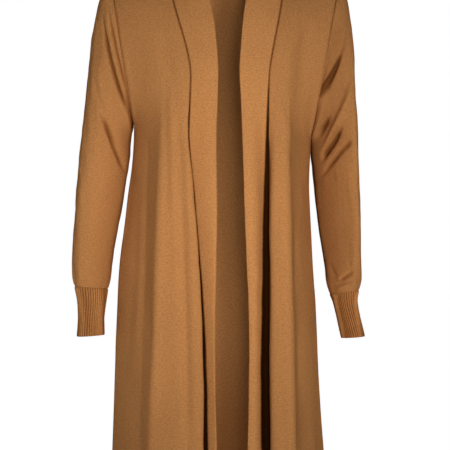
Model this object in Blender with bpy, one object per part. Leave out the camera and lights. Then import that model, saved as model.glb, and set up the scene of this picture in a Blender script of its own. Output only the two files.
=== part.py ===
# Open-front long cardigan in fine knit, in the hollow form that it has when worn.
# Metres, +Z up. The front faces -Y and the wearer's left is +X.
# The origin lies between the two side-neck points, at the height where the shoulders carry the garment.
# Tables are in millimetres, with one row for each height, ring or fold and the columns named above them.

import math

import bpy
import numpy as np

MM = 0.001
SIDES = ("right", "left")

# Walls and seams
BODY_WALL = 1.8
BAND_WALL = 2.8
CUFF_WALL = 1.8
SEAM_GAP = 0.3

# Hem, and the lowest and the highest point of each armhole
HEM_Z = -920
ARMPIT_Z = {"right": -279, "left": -299}
ARMPIT_X = {"right": -154.7, "left": 146.2}
TIP_X = {"right": -192, "left": 192}
TIP_Z = {"right": -34, "left": -40}
ARMHOLE_HALF_DEPTH = 60

# Rows from hem to armpit and from armpit to shoulder, and columns across the pieces
LOW_ROWS = 14
TOP_ROWS = 10
FRONT_FACE_COLUMNS = 9
FRONT_ROLL_COLUMNS = 5
SHOULDER_COLUMNS = 6
HALF_NECK_COLUMNS = 5
BAND_COLUMNS = 6

# Shape of the sections: quarter rings, squarer the further their power is under 1, how far round them a front and
# the shoulder end, where a section starts to turn into the shoulder, and how late the top rows are pulled to the
# seams above.
FRONT_POWER = 1.08
BACK_POWER = 0.82
FRONT_TURN = math.radians(74)
TOP_TURN = math.radians(58)
TURN_FROM = 0.55
TOP_PULL = 4

# Shares across a panel: where the roll over the band starts, and where the shoulder seam ends on the back.
ROLL_START = 0.76
SHOULDER_SHARE = 0.58

# How far a band stands proud between its edges.
BAND_CROWN = 2.0

# Edges sharper than this are drawn sharp.
SHARP_ANGLE = math.radians(50)

# Front edge, by the height of the band's seam: the roll where panel and band meet, the band's free edge,
# how much higher the free edge lies than the seam, and how far the panel is rolled over the band.
FRONT_EDGE_COLUMNS = ("z", "roll_right", "roll_left", "roll_y", "edge_right", "edge_left", "edge_y", "rise", "fold")
FRONT_EDGE = (
    (-920, -34, 77, -131, -12, 37, -126, 0, 1.00),
    (-830, -34, 76, -129, -13, 37, -124, 0, 1.00),
    (-720, -35, 75, -127, -16, 39, -122, 0, 1.00),
    (-600, -38, 75, -125, -16, 39, -120, 0, 1.00),
    (-500, -43, 75, -124, -14, 35, -119, 0, 1.00),
    (-420, -47, 74, -123, -13, 32, -119, 0, 0.90),
    (-350, -51, 74, -122, -14, 30, -119, 0, 0.60),
    (-290, -55, 73, -120, -14, 28, -119, 0, 0.25),
    (-235, -57, 73, -116, -12, 26, -118, 0, 0.05),
    (-188, -58, 75, -110, -11, 24, -115, 1, 0.00),
    (-145, -66, 82, -99, -14, 27, -108, 3, 0.00),
    (-104, -78, 90, -85, -20, 31, -98, 7, 0.00),
    (-66, -88, 96, -65, -30, 38, -81, 11, 0.00),
    (-30, -94, 99, -34, -44, 49, -46, 20, 0.00),
    (-10, -95.6, 99.8, -9, -53, 56, -18, 26, 0.00),
    (0, -96, 100, 10, -58, 60, 4, 30, 0.00),
)

# Body outline, by height: the side seams and the depth of the back.
BODY_COLUMNS = ("z", "side_right", "side_left", "back_y")
BODY = (
    (-920, -196, 176, 121),
    (-830, -192, 168, 117),
    (-715, -188, 160, 111),
    (-600, -184, 155, 105),
    (-508, -179, 149, 100),
    (-447, -171, 146, 97),
    (-394, -165, 143, 95),
    (-345, -158, 143, 96),
    (-279, -154.7, 146, 100),
    (-235, -156, 147, 104),
    (-185, -156, 147, 106),
    (-140, -156, 147, 104),
    (-100, -156, 147, 99),
    (-60, -156, 147, 90),
    (-11, -156, 147, 70),
)

# Height of the front and back sections above the armpit, by the share of the armhole passed.
YOKE_COLUMNS = ("share", "front_z", "back_z")
YOKE = (
    (0.00, -290, -286),
    (0.25, -235, -228),
    (0.38, -188, -184),
    (0.50, -145, -142),
    (0.62, -104, -105),
    (0.75, -66, -72),
    (0.88, -28, -41),
    (1.00, 0, -11),
)

# Back neck, from the side-neck point to the centre back: x as a share of the side-neck point's.
NECK_COLUMNS = ("share", "seam_x", "seam_y", "seam_z", "edge_x", "edge_y", "edge_z")
NECK = (
    (0.00, 1.00, 10, 0, 1.00, 4, 30),
    (0.25, 0.92, 36, -1, 0.93, 25, 38),
    (0.50, 0.67, 55, -5, 0.73, 42, 43),
    (0.75, 0.35, 66, -9, 0.39, 53, 46),
    (1.00, 0.00, 70, -11, 0.00, 57, 47),
)

# Roll of each front over its band, as steps towards the centre front and back from the roll line. The front runs
# over brow, crest and back to the seam, and from the seam the band comes out again by band_foot and band_brow.
# The last two rows are counted from the seam and from the roll line, and seam_turn is the seam's outward direction.
ROLL = {
    "right": {
        "brow": (-23, 1),
        "crest": (9, -4),
        "back": (2, 14),
        "seam": (-14, 26),
        "seam_turn": (0.93, -0.37),
        "band_foot": (10, 1),
        "band_brow": (17, 3),
    },
    "left": {
        "brow": (-23, 1),
        "crest": (9, -4),
        "back": (-2, 19),
        "seam": (1, 29),
        "seam_turn": (0.70, -0.71),
        "band_foot": (8, 1),
        "band_brow": (11, -4),
    },
}

# Sleeve rings seen from the front: the outer and the inner point, the half depth, the centre's depth and the lean,
# which is how far the outer side of the ring lies in front of its centre and the inner side behind it.
RING_COLUMNS = ("outer_x", "outer_z", "inner_x", "inner_z", "half_depth", "centre_y", "lean")
SLEEVES = {
    "right": (
        (-192, -34, -154.7, -279, 60, 0, 0),
        (-208, -50, -155.2, -282, 58, 0, 0),
        (-218, -85, -156.0, -285, 56, 0, 1),
        (-226, -128, -157.0, -289, 53, 0, 4),
        (-231, -175, -158.2, -294, 50, 1, 7),
        (-236, -228, -159.4, -301, 47, 2, 10),
        (-241, -272, -160.6, -311, 46, 3, 12),
        (-246, -318, -162, -334, 45, 4, 13),
        (-250, -364, -168, -373, 43, 4, 14),
        (-254, -412, -176, -420, 41, 2, 14),
        (-257, -460, -184, -467, 38, -2, 13),
        (-258.5, -502, -191, -509, 35, -8, 12),
        (-258.5, -531, -194, -537, 33, -12, 10),
        (-254.5, -550, -198.5, -555, 28, -16, 8),
    ),
    "left": (
        (192, -40, 146.2, -299, 60, 0, 0),
        (205, -62, 146.0, -301, 58, 0, 1),
        (212, -100, 145.9, -305, 55, 0, 4),
        (216.5, -144, 146.0, -310, 51, 0, 10),
        (219, -188, 146.2, -316, 47, 1, 17),
        (221, -236, 146.5, -323, 42, 2, 23),
        (224, -282, 147.0, -334, 39, 3, 27),
        (225.5, -330, 149.5, -352, 37, 4, 29),
        (226.5, -374, 153, -389, 35, 4, 29),
        (228.5, -420, 158, -431, 34, 2, 28),
        (229.5, -466, 163, -475, 33, -2, 25),
        (230, -506, 169, -513, 32, -8, 20),
        (231, -537, 172, -543, 31, -12, 15),
        (226.5, -557, 177.5, -563, 27, -16, 11),
    ),
}

# Cuff rings, with the same columns; the first is the sleeve's last.
CUFFS = {
    "right": (
        (-254.5, -550, -198.5, -555, 28, -16, 8),
        (-249.5, -575, -202, -578, 27, -18, 7),
        (-248, -601, -205, -602, 27, -20, 6),
        (-248.5, -617, -205, -616, 28, -22, 6),
        (-249.8, -635.5, -204.5, -633, 30, -24, 6),
    ),
    "left": (
        (226.5, -557, 177.5, -563, 27, -16, 11),
        (223.5, -574, 183.5, -578, 26, -18, 9),
        (227, -598, 189, -600, 26, -20, 8),
        (231.5, -617, 193, -619, 27, -22, 7),
        (235.7, -635, 197.5, -638.5, 29, -24, 7),
    ),
}
CUFF_RIBS = 40
RIB_HEIGHT = 0.5

# Largest folds of the panels, all down to the hem: place across the panel at the top and at the hem, height of
# the top, half width as a share of the panel, and height at the hem, with minus for a trough.
FOLD_COLUMNS = ("top_u", "hem_u", "top_z", "half_width", "depth")
FRONT_FOLDS = {
    "right": (
        (0.74, 0.74, -260, 0.05, -3.0),
        (0.58, 0.49, -230, 0.07, 4.0),
        (0.40, 0.33, -260, 0.09, -4.0),
    ),
    "left": (
        (0.67, 0.64, -260, 0.07, 3.5),
        (0.46, 0.44, -300, 0.10, -4.0),
        (0.20, 0.22, -380, 0.09, 2.5),
    ),
}
BACK_FOLDS = (
    (0.18, 0.15, -380, 0.05, -6.0),
    (0.31, 0.29, -330, 0.06, 5.0),
    (0.44, 0.45, -420, 0.05, -5.0),
    (0.58, 0.60, -360, 0.06, 6.0),
    (0.72, 0.73, -340, 0.05, -5.0),
    (0.85, 0.87, -400, 0.05, 5.0),
)

# A fold fades in over this height, from this share of its height at the hem.
FOLD_FADE = 160
FOLD_TOP_SHARE = 0.45

CAMEL = (0.456, 0.199, 0.067)
CAMEL_DEEP = (0.420, 0.180, 0.060)
KNIT_ROUGHNESS = 0.82


def unit(vectors):
    """The vectors at length one."""
    return vectors / np.linalg.norm(vectors, axis=-1, keepdims=True)


def smooth_step(value):
    """0 below 0, 1 above 1 and a soft rise between."""
    value = np.clip(value, 0, 1)
    return value * value * (3 - 2 * value)


def read(table, columns, name, at):
    """A column of a table at any value of its first column, on a smooth curve through its rows."""
    rows = np.array(table, float)
    xs = rows[:, 0]
    ys = rows[:, columns.index(name)]
    at = np.clip(np.asarray(at, float), xs[0], xs[-1])
    slope = np.gradient(ys, xs)
    i = np.clip(np.searchsorted(xs, at) - 1, 0, len(xs) - 2)
    width = xs[i + 1] - xs[i]
    t = (at - xs[i]) / width
    return (
        ys[i] * (2 * t**3 - 3 * t**2 + 1)
        + ys[i + 1] * (3 * t**2 - 2 * t**3)
        + slope[i] * width * (t**3 - 2 * t**2 + t)
        + slope[i + 1] * width * (t**3 - t**2)
    )


def edge_at(name, z):
    return read(FRONT_EDGE, FRONT_EDGE_COLUMNS, name, z)


def body_at(name, z):
    return read(BODY, BODY_COLUMNS, name, z)


def bezier(a, b, c, d, t):
    """Cubic curves from a to d, one for each t."""
    t = np.asarray(t)[:, None]
    return (1 - t) ** 3 * a + 3 * (1 - t) ** 2 * t * b + 3 * (1 - t) * t**2 * c + t**3 * d


def armhole(side, share, half):
    """The armhole's seam: share 0 at the armpit, 1 at the shoulder tip; half is -1 in front, +1 behind."""
    pit = np.array((ARMPIT_X[side], 0, ARMPIT_Z[side]))
    tip = np.array((TIP_X[side], 0, TIP_Z[side]))
    angle = math.pi * share
    along = (tip - pit) / 2
    depth = np.array((0, half * ARMHOLE_HALF_DEPTH, 0))
    return (pit + tip) / 2 - along * math.cos(angle) + depth * math.sin(angle)


def armhole_out(side, share, half):
    """The direction away from the armhole's middle, in its own plane, square to its seam."""
    pit = np.array((ARMPIT_X[side], 0, ARMPIT_Z[side]))
    tip = np.array((TIP_X[side], 0, TIP_Z[side]))
    angle = math.pi * share
    along = (tip - pit) / 2
    size = np.linalg.norm(along)
    return unit(-along / size**2 * math.cos(angle) + np.array((0, half, 0)) / ARMHOLE_HALF_DEPTH * math.sin(angle))


def side_neck(side):
    return np.array((edge_at("roll_" + side, 0), edge_at("roll_y", 0), 0.0))


def quarter(u, start, end, power):
    """Shares of the way across and of the way forward, on a squared quarter ring between two angles."""
    angle = start + (end - start) * u
    c = np.abs(np.cos(angle)) ** power
    s = np.abs(np.sin(angle)) ** power
    c0 = abs(math.cos(start)) ** power
    s0 = abs(math.sin(start)) ** power
    c1 = abs(math.cos(end)) ** power
    s1 = abs(math.sin(end)) ** power
    return (c0 - c) / (c0 - c1), (s - s0) / (s1 - s0)


def start_angle(a, b, end, share, power):
    """Where on the quarter ring the section from a to b starts, so that it goes on the shape of the body below."""
    depth = min(1, abs(a[1] / b[1]) * math.sin(end) ** power) if b[1] else 0
    natural = math.asin(depth ** (1 / power))
    turn = float(smooth_step((share - TURN_FROM) / (1 - TURN_FROM)))
    return natural * (1 - turn) + TOP_TURN * turn


def section(a, b, u, start, end, power):
    """A panel's section from the point a at its side to the point b nearer the centre."""
    across, forward = quarter(u, start, end, power)
    shares = np.stack([across, forward, (across + u) / 2], axis=1)
    return a + (b - a) * shares


def inward(side):
    """+1 or -1: the way along X from this side to the centre front."""
    return 1 if side == "right" else -1


def stepped(point, side, step):
    """The point moved by one of the steps of ROLL."""
    return point + np.array((inward(side) * step[0], step[1], 0))


def roll_line(side, z):
    """The line where a front meets its band or rolls over it, and how far it is rolled there."""
    return np.array((edge_at("roll_" + side, z), edge_at("roll_y", z), z)), float(edge_at("fold", z))


def front_row(side, a, z, share):
    """One row of a front, from the point a at its side to the band's seam at height z."""
    roll = ROLL[side]
    flat, fold = roll_line(side, z)
    face_u = np.linspace(0, ROLL_START, FRONT_FACE_COLUMNS + 1)
    roll_u = np.linspace(ROLL_START, 1, FRONT_ROLL_COLUMNS + 1)[1:]
    u = np.concatenate([face_u, roll_u])
    start = start_angle(a, flat, FRONT_TURN, share, FRONT_POWER)
    plain = section(a, flat, u, start, FRONT_TURN, FRONT_POWER)
    if fold == 0:
        return plain, u
    brow, crest, back, seam = (stepped(flat, side, roll[name]) for name in ("brow", "crest", "back", "seam"))
    t = (roll_u - ROLL_START) / (1 - ROLL_START)
    face = section(a, brow, face_u / ROLL_START, start, FRONT_TURN, FRONT_POWER)
    rolled = np.concatenate([face, bezier(brow, crest, back, seam, t)])
    return plain * (1 - fold) + rolled * fold, u


def top_row_of_front(side, u):
    tip = np.array((TIP_X[side], 0, TIP_Z[side]))
    return tip + (side_neck(side) - tip) * np.asarray(u)[:, None]


def row_shares():
    """For each row: its share of the way from hem to armpit, and its share of the armhole."""
    low = [(i / LOW_ROWS, 0.0) for i in range(LOW_ROWS)]
    top = [(1.0, i / TOP_ROWS) for i in range(TOP_ROWS + 1)]
    return low + top


def row_z(column, low, top):
    """Height of a section of the front or the back, at the end away from its side."""
    if top > 0:
        return float(read(YOKE, YOKE_COLUMNS, column, top))
    return HEM_Z + (float(read(YOKE, YOKE_COLUMNS, column, 0)) - HEM_Z) * low


def side_point(side, low, top, half):
    if top > 0:
        return armhole(side, top, half)
    z = HEM_Z + (ARMPIT_Z[side] - HEM_Z) * low
    return np.array((body_at("side_" + side, z) if low < 1 else ARMPIT_X[side], 0, z))


def front_surface(side):
    rows = []
    for low, top in row_shares():
        row, u = front_row(side, side_point(side, low, top, -1), row_z("front_z", low, top), top)
        if top > 0:
            straight = top_row_of_front(side, u)
            plain = section(straight[0], straight[-1], u, TOP_TURN, FRONT_TURN, FRONT_POWER)
            row = row + (straight - plain) * top**TOP_PULL
        rows.append(row)
    return np.array(rows), u


def back_surface():
    """The back, from the right side seam round to the left one."""
    shoulder = np.linspace(0, SHOULDER_SHARE, SHOULDER_COLUMNS + 1)
    neck = np.linspace(0, 1, HALF_NECK_COLUMNS + 1)[1:]
    u = np.concatenate([shoulder, SHOULDER_SHARE + (1 - SHOULDER_SHARE) * neck])
    halves = {}
    for side in ("right", "left"):
        tip = np.array((TIP_X[side], 0, TIP_Z[side]))
        on_seam = tip + (side_neck(side) - tip) * (shoulder / SHOULDER_SHARE)[:, None]
        edge = np.concatenate([on_seam, neck_points(side, neck, "seam")])
        rows = []
        for low, top in row_shares():
            a = side_point(side, low, top, 1)
            z = row_z("back_z", low, top)
            b = np.array((0, body_at("back_y", z), z))
            start = start_angle(a, b, math.pi / 2, top, BACK_POWER)
            row = section(a, b, u, start, math.pi / 2, BACK_POWER)
            if top > 0:
                plain = section(tip, edge[-1], u, TOP_TURN, math.pi / 2, BACK_POWER)
                row = row + (edge - plain) * top**TOP_PULL
            rows.append(row)
        halves[side] = np.array(rows)
    both = np.concatenate([halves["right"], halves["left"][:, -2::-1]], axis=1)
    across = np.concatenate([u / 2, 1 - u[-2::-1] / 2])
    return both, across


def neck_points(side, shares, line):
    base = edge_at(("roll_" if line == "seam" else "edge_") + side, 0)
    x = read(NECK, NECK_COLUMNS, line + "_x", shares) * base
    y = read(NECK, NECK_COLUMNS, line + "_y", shares)
    z = read(NECK, NECK_COLUMNS, line + "_z", shares)
    return np.stack([x, y, z], axis=1)


def band_surface(side):
    """A front band, from the hem to the side neck and round to the centre back."""
    roll = ROLL[side]
    u = np.linspace(0, 1, BAND_COLUMNS + 1)
    crown = np.outer(np.sin(math.pi * u), (0, -BAND_CROWN, 0))
    rows = []
    for low, top in row_shares():
        z = row_z("front_z", low, top)
        flat, fold = roll_line(side, z)
        edge = np.array((edge_at("edge_" + side, z), edge_at("edge_y", z), z + edge_at("rise", z)))
        plain = flat + (edge - flat) * u[:, None] + crown
        seam = stepped(flat, side, roll["seam"])
        foot = stepped(seam, side, roll["band_foot"])
        brow = stepped(flat, side, roll["band_brow"])
        rolled = bezier(seam, foot, brow, edge, u)
        rows.append(plain * (1 - fold) + rolled * fold)
    shares = np.linspace(0, 1, HALF_NECK_COLUMNS + 1)[1:]
    for seam, edge in zip(neck_points(side, shares, "seam"), neck_points(side, shares, "edge")):
        rows.append(seam + (edge - seam) * u[:, None])
    return np.array(rows)


def add_folds(grid, normals, across, folds):
    """Moves a panel's points out and in along its largest folds, which fade towards their ends."""
    z = grid[..., 2]
    moved = np.zeros_like(z)
    for row in folds:
        fold = dict(zip(FOLD_COLUMNS, row))
        share = np.clip((fold["top_z"] - z) / (fold["top_z"] - HEM_Z), 0, 1)
        middle = fold["top_u"] + (fold["hem_u"] - fold["top_u"]) * share
        reach = np.exp(-(((across[None, :] - middle) / fold["half_width"]) ** 2))
        fade = smooth_step((fold["top_z"] - z) / FOLD_FADE)
        moved += fold["depth"] * reach * fade * (FOLD_TOP_SHARE + (1 - FOLD_TOP_SHARE) * share)
    moved[:, 0] = 0
    moved[:, -1] = 0
    return grid + normals * moved[..., None]


def grid_normals(grid, ring=False):
    """Normals across and along the grid's rows, all to one side."""
    along = np.gradient(grid, axis=0)
    if ring:
        across = np.roll(grid, -1, axis=1) - np.roll(grid, 1, axis=1)
    else:
        across = np.gradient(grid, axis=1)
    return unit(np.cross(across, along))


def seam_across(points, normals):
    """Directions along the cloth and square to a seam, to the right of its run when seen from outside."""
    return unit(np.cross(np.gradient(points, axis=0), normals))


def halved(points, a, b, c, d):
    """A four-sided face as two triangles along its shorter diagonal."""
    if np.linalg.norm(points[a] - points[c]) <= np.linalg.norm(points[b] - points[d]):
        return [(a, b, c), (a, c, d)]
    return [(a, b, d), (b, c, d)]


def rim_edges(rows, columns, ring):
    """The edges round a grid, each as its two points, in the order that its rim faces outwards."""
    found = []
    for j in range(columns if ring else columns - 1):
        k = (j + 1) % columns
        found.append((k, j))
        found.append(((rows - 1) * columns + j, (rows - 1) * columns + k))
    if not ring:
        for i in range(rows - 1):
            found.append((i * columns, (i + 1) * columns))
            found.append(((i + 2) * columns - 1, (i + 1) * columns - 1))
    return found


def solid(name, outer, inner, out_sign, ring, colour):
    """A closed wall between two grids of points, as a Blender object with its own material."""
    rows, columns = outer.shape[:2]
    count = rows * columns
    points = np.concatenate([outer.reshape(-1, 3), inner.reshape(-1, 3)]) * MM
    faces = []
    for i in range(rows - 1):
        for j in range(columns if ring else columns - 1):
            a = i * columns + j
            b = i * columns + (j + 1) % columns
            pair = halved(points, a, b, b + columns, a + columns)
            faces += pair
            faces += [(q + count, p + count, r + count) for p, q, r in pair]
    for p, q in rim_edges(rows, columns, ring):
        faces += halved(points, p, q, q + count, p + count)
    if out_sign < 0:
        faces = [(p, r, q) for p, q, r in faces]
    mesh = bpy.data.meshes.new(name)
    mesh.from_pydata(points.tolist(), [], faces)
    mesh.update()
    mesh.shade_smooth()
    mesh.set_sharp_from_angle(angle=SHARP_ANGLE)
    mesh.materials.append(knit(name, colour))
    piece = bpy.data.objects.new(name, mesh)
    bpy.context.scene.collection.objects.link(piece)
    return piece


def knit(name, colour):
    material = bpy.data.materials.new(name + "_knit")
    material.use_nodes = True
    shader = material.node_tree.nodes["Principled BSDF"]
    shader.inputs["Base Color"].default_value = (*colour, 1)
    shader.inputs["Roughness"].default_value = KNIT_ROUGHNESS
    shader.inputs["Metallic"].default_value = 0
    return material


def ring_parts(row):
    """The middle of a sleeve or cuff ring, its half width towards the outer side and its half depth."""
    ring = dict(zip(RING_COLUMNS, row))
    outer = np.array((ring["outer_x"], ring["centre_y"] - ring["lean"], ring["outer_z"]))
    inner = np.array((ring["inner_x"], ring["centre_y"] + ring["lean"], ring["inner_z"]))
    return (outer + inner) / 2, (outer - inner) / 2, np.array((0, ring["half_depth"], 0))


def ring_angles(count):
    return np.linspace(0, 2 * math.pi, count, endpoint=False)[:, None]


def sleeve_surface(table):
    """Rings of the sleeve, from the armhole down; each starts at its inner point and runs by the front."""
    angle = ring_angles(2 * TOP_ROWS)
    rows = []
    for row in table:
        middle, across, depth = ring_parts(row)
        rows.append(middle - across * np.cos(angle) - depth * np.sin(angle))
    return np.array(rows)


def cuff_surfaces(table):
    """Ribbed outer rings and plain inner rings of a cuff, the first a seam's gap below the sleeve's end."""
    count = 2 * CUFF_RIBS
    angle = ring_angles(count)
    rib = np.where(np.arange(count) % 2 == 0, RIB_HEIGHT, -RIB_HEIGHT)[:, None]
    outer = []
    inner = []
    for row in table:
        middle, across, depth = ring_parts(row)
        ring = middle - across * np.cos(angle) - depth * np.sin(angle)
        run = across * np.sin(angle) - depth * np.cos(angle)
        out = unit(np.cross(run, np.cross(across, depth)))
        outer.append(ring + out * rib)
        inner.append(ring - out * CUFF_WALL)
    down = down_sleeve(table[0]) * SEAM_GAP
    outer[0] = outer[0] + down
    inner[0] = inner[0] + down
    return np.array(outer), np.array(inner)


def down_sleeve(row):
    """The direction down the sleeve at one of its rings, square to the ring."""
    across, depth = ring_parts(row)[1:]
    down = unit(np.cross(across, depth))
    return down * -np.sign(down[2])


def outward(grid):
    """The sign that turns a ring's normals outwards."""
    away = grid - grid.mean(axis=1, keepdims=True)
    return int(np.sign((away * grid_normals(grid, ring=True)).sum()))


def front_band_directions(side, front_normals, band_normals):
    """Shared outward directions along the seam of a front and its band."""
    shared = []
    turn = ROLL[side]["seam_turn"]
    deep = np.array((inward(side) * turn[0], turn[1], 0))
    for (low, top), n, m in zip(row_shares(), front_normals, band_normals):
        fold = float(edge_at("fold", row_z("front_z", low, top)))
        plain = unit(unit(n) + unit(m)) if fold < 0.05 else np.array((0, -1.0, 0))
        shared.append(unit(plain * (1 - fold) + deep * fold))
    return np.array(shared)


def to_body(side):
    """The direction square to the armhole, from the sleeve to the body."""
    way = unit(np.cross(armhole(side, 1, -1) - armhole(side, 0, -1), (0, 1, 0)))
    return way * np.sign(way[0] * inward(side))


def panel(grid, sign, across=None, folds=()):
    """A panel's points with its folds, and its outward directions."""
    if folds:
        grid = add_folds(grid, grid_normals(grid) * sign, across, folds)
    return {"grid": grid, "out": grid_normals(grid) * sign}


def join_band(side, front, back, band, neck_columns):
    """Brings the front and the back to their band's seam, half a gap away on each side of it."""
    rows = len(row_shares())
    seam = band["grid"][:, 0].copy()
    up_front = front_band_directions(side, front["out"][:, -1], band["out"][:rows, 0])
    round_neck = unit(back["out"][-1, neck_columns] + band["out"][rows - 1 :, 0])
    shoulder_up = unit(np.cross(side_neck(side) - armhole(side, 1, -1), (0, 1, 0)) * -inward(side))
    corner = unit(shoulder_up + round_neck[0])
    out = np.concatenate([up_front[:-1], [corner], round_neck[1:]])
    out[1:-1] = unit(out[:-2] + 2 * out[1:-1] + out[2:])
    out[-1] = unit(out[-1] * (0, 1, 1))
    step = seam_across(seam, out) * inward(side) * SEAM_GAP / 2

    front["grid"][:, -1] = seam[:rows] - step[:rows]
    front["out"][:, -1] = out[:rows]
    band["grid"][:, 0] = seam + step
    band["out"][:, 0] = out
    back["grid"][-1, neck_columns] = seam[rows - 1 :] - step[rows - 1 :]
    back["out"][-1, neck_columns] = out[rows - 1 :]
    return out[rows - 1]


def join_side(side, front, back, column):
    """Brings the front and the back to their side seam and to the armhole."""
    gap = np.array((0, SEAM_GAP / 2, 0))
    low = slice(0, LOW_ROWS)
    front["out"][low, 0] = (-inward(side), 0, 0)
    back["out"][low, column] = (-inward(side), 0, 0)
    front["grid"][low, 0] -= gap
    back["grid"][low, column] += gap
    for i in range(TOP_ROWS + 1):
        row = LOW_ROWS + i
        share = i / TOP_ROWS
        step = to_body(side) * SEAM_GAP / 2
        front["out"][row, 0] = armhole_out(side, share, -1)
        front["grid"][row, 0] = armhole(side, share, -1) + step
        back["out"][row, column] = armhole_out(side, share, 1)
        back["grid"][row, column] = armhole(side, share, 1) + step
    front["grid"][LOW_ROWS, 0] -= gap
    back["grid"][LOW_ROWS, column] += gap


def join_shoulder(side, front, back, across, shoulder_columns, corner):
    """Brings the front and the back to their shoulder seam, turning evenly from its tip to the neck."""
    gap = np.array((0, SEAM_GAP / 2, 0))
    tip_out = armhole_out(side, 1, -1)
    t = across[:, None]
    front["out"][-1] = tip_out * (1 - t) + corner * t
    front["grid"][-1] -= gap
    t = np.linspace(0, 1, SHOULDER_COLUMNS + 1)[:, None]
    back["out"][-1, shoulder_columns] = tip_out * (1 - t) + corner * t
    back["grid"][-1, shoulder_columns] += gap


def make_body():
    """The back, the two fronts and the two bands."""
    grid, across = back_surface()
    back = panel(grid, -1, across, BACK_FOLDS)
    for side in SIDES:
        grid, across = front_surface(side)
        front = panel(grid, inward(side), across, FRONT_FOLDS[side])
        band = panel(band_surface(side), inward(side))
        columns = np.arange(SHOULDER_COLUMNS + HALF_NECK_COLUMNS + 1)
        if side == "left":
            columns = 2 * columns[-1] - columns
        corner = join_band(side, front, back, band, columns[SHOULDER_COLUMNS:])
        join_side(side, front, back, columns[0])
        join_shoulder(side, front, back, across, columns[: SHOULDER_COLUMNS + 1], corner)
        band["grid"][-1, :, 0] -= inward(side) * SEAM_GAP / 2
        band["out"][-1] = unit(band["out"][-1] * (0, 1, 1))
        walls = np.full(band["grid"].shape[:2] + (1,), BAND_WALL)
        walls[:, 0] = BODY_WALL
        inner = front["grid"] - front["out"] * BODY_WALL
        solid("front_" + side, front["grid"], inner, inward(side), False, CAMEL)
        solid("band_" + side, band["grid"], band["grid"] - band["out"] * walls, inward(side), False, CAMEL)
    solid("back", back["grid"], back["grid"] - back["out"] * BODY_WALL, -1, False, CAMEL_DEEP)


def make_sleeve(side):
    table = SLEEVES[side]
    grid = sleeve_surface(table)
    sign = outward(grid)
    out = grid_normals(grid, ring=True) * sign
    for j in range(2 * TOP_ROWS):
        half = -1 if j <= TOP_ROWS else 1
        share = j / TOP_ROWS if j <= TOP_ROWS else 2 - j / TOP_ROWS
        grid[0, j] = armhole(side, share, half) - to_body(side) * SEAM_GAP / 2
        out[0, j] = armhole_out(side, share, half)
    down = down_sleeve(table[-1])
    out[-1] = unit(out[-1] - np.outer(out[-1] @ down, down))
    solid("sleeve_" + side, grid, grid - out * BODY_WALL, sign, True, CAMEL)


def make_cuff(side):
    outer, inner = cuff_surfaces(CUFFS[side])
    solid("cuff_" + side, outer, inner, outward(outer), True, CAMEL)


for old_piece in list(bpy.data.objects):
    bpy.data.objects.remove(old_piece, do_unlink=True)
make_body()
for each_side in SIDES:
    make_sleeve(each_side)
    make_cuff(each_side)
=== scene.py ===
import math
from functools import partial

import bpy
import numpy as np
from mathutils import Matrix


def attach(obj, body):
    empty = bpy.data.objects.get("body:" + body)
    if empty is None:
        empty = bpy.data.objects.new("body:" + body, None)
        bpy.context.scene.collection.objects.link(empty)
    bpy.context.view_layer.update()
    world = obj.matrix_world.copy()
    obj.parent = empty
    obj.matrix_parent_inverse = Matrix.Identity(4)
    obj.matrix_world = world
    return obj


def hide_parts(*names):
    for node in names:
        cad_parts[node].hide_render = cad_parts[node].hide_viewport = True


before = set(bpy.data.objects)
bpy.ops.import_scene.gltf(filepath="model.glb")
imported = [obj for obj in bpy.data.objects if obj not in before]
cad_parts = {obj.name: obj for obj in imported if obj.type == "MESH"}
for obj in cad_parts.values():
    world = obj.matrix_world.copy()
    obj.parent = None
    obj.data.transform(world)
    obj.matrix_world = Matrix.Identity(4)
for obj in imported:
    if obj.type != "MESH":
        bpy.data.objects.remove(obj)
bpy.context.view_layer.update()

# Tables and sizes are in millimetres, +Z up, the open front faces -Y.
mm = 0.001
sides = ("right", "left")
inwardWay = {"right": 1, "left": -1}

garment = {
    "hem": -920,
    "armpit": {"right": (-154.7, -279), "left": (146.2, -299)},
    "shoulderTip": {"right": (-192, -34), "left": (192, -40)},
    "armholeHalfDepth": 60,
    "frontPower": 1.08,
    "backPower": 0.82,
    "frontTurn": math.radians(74),
    "topTurn": math.radians(58),
    "turnFrom": 0.55,
    "topPull": 4,
    "rollStart": 0.76,
    "shoulderShare": 0.58,
    "cloth": 1.7,
    "halfGap": 0.05,
    "stitchDepth": 1.7,
    "seamDip": 2.0,
    "seamWidth": 1.3,
    "hemTurn": 22,
    "seamReach": (14, 14, 16),
    "hemStitchLift": 0.05,
    "neckStitchDepth": 0.3,
    "mapColumn": 60,
    "panelWaves": (90, 190),
    "hollowPaintedShade": 0.95,
    "creasePaintedShade": 0.6,
    "armpitPaintedShade": 0.93,
    "innerPaintedShade": 0.32,
    "innerPaintedShadeTo": 300,
}

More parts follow.
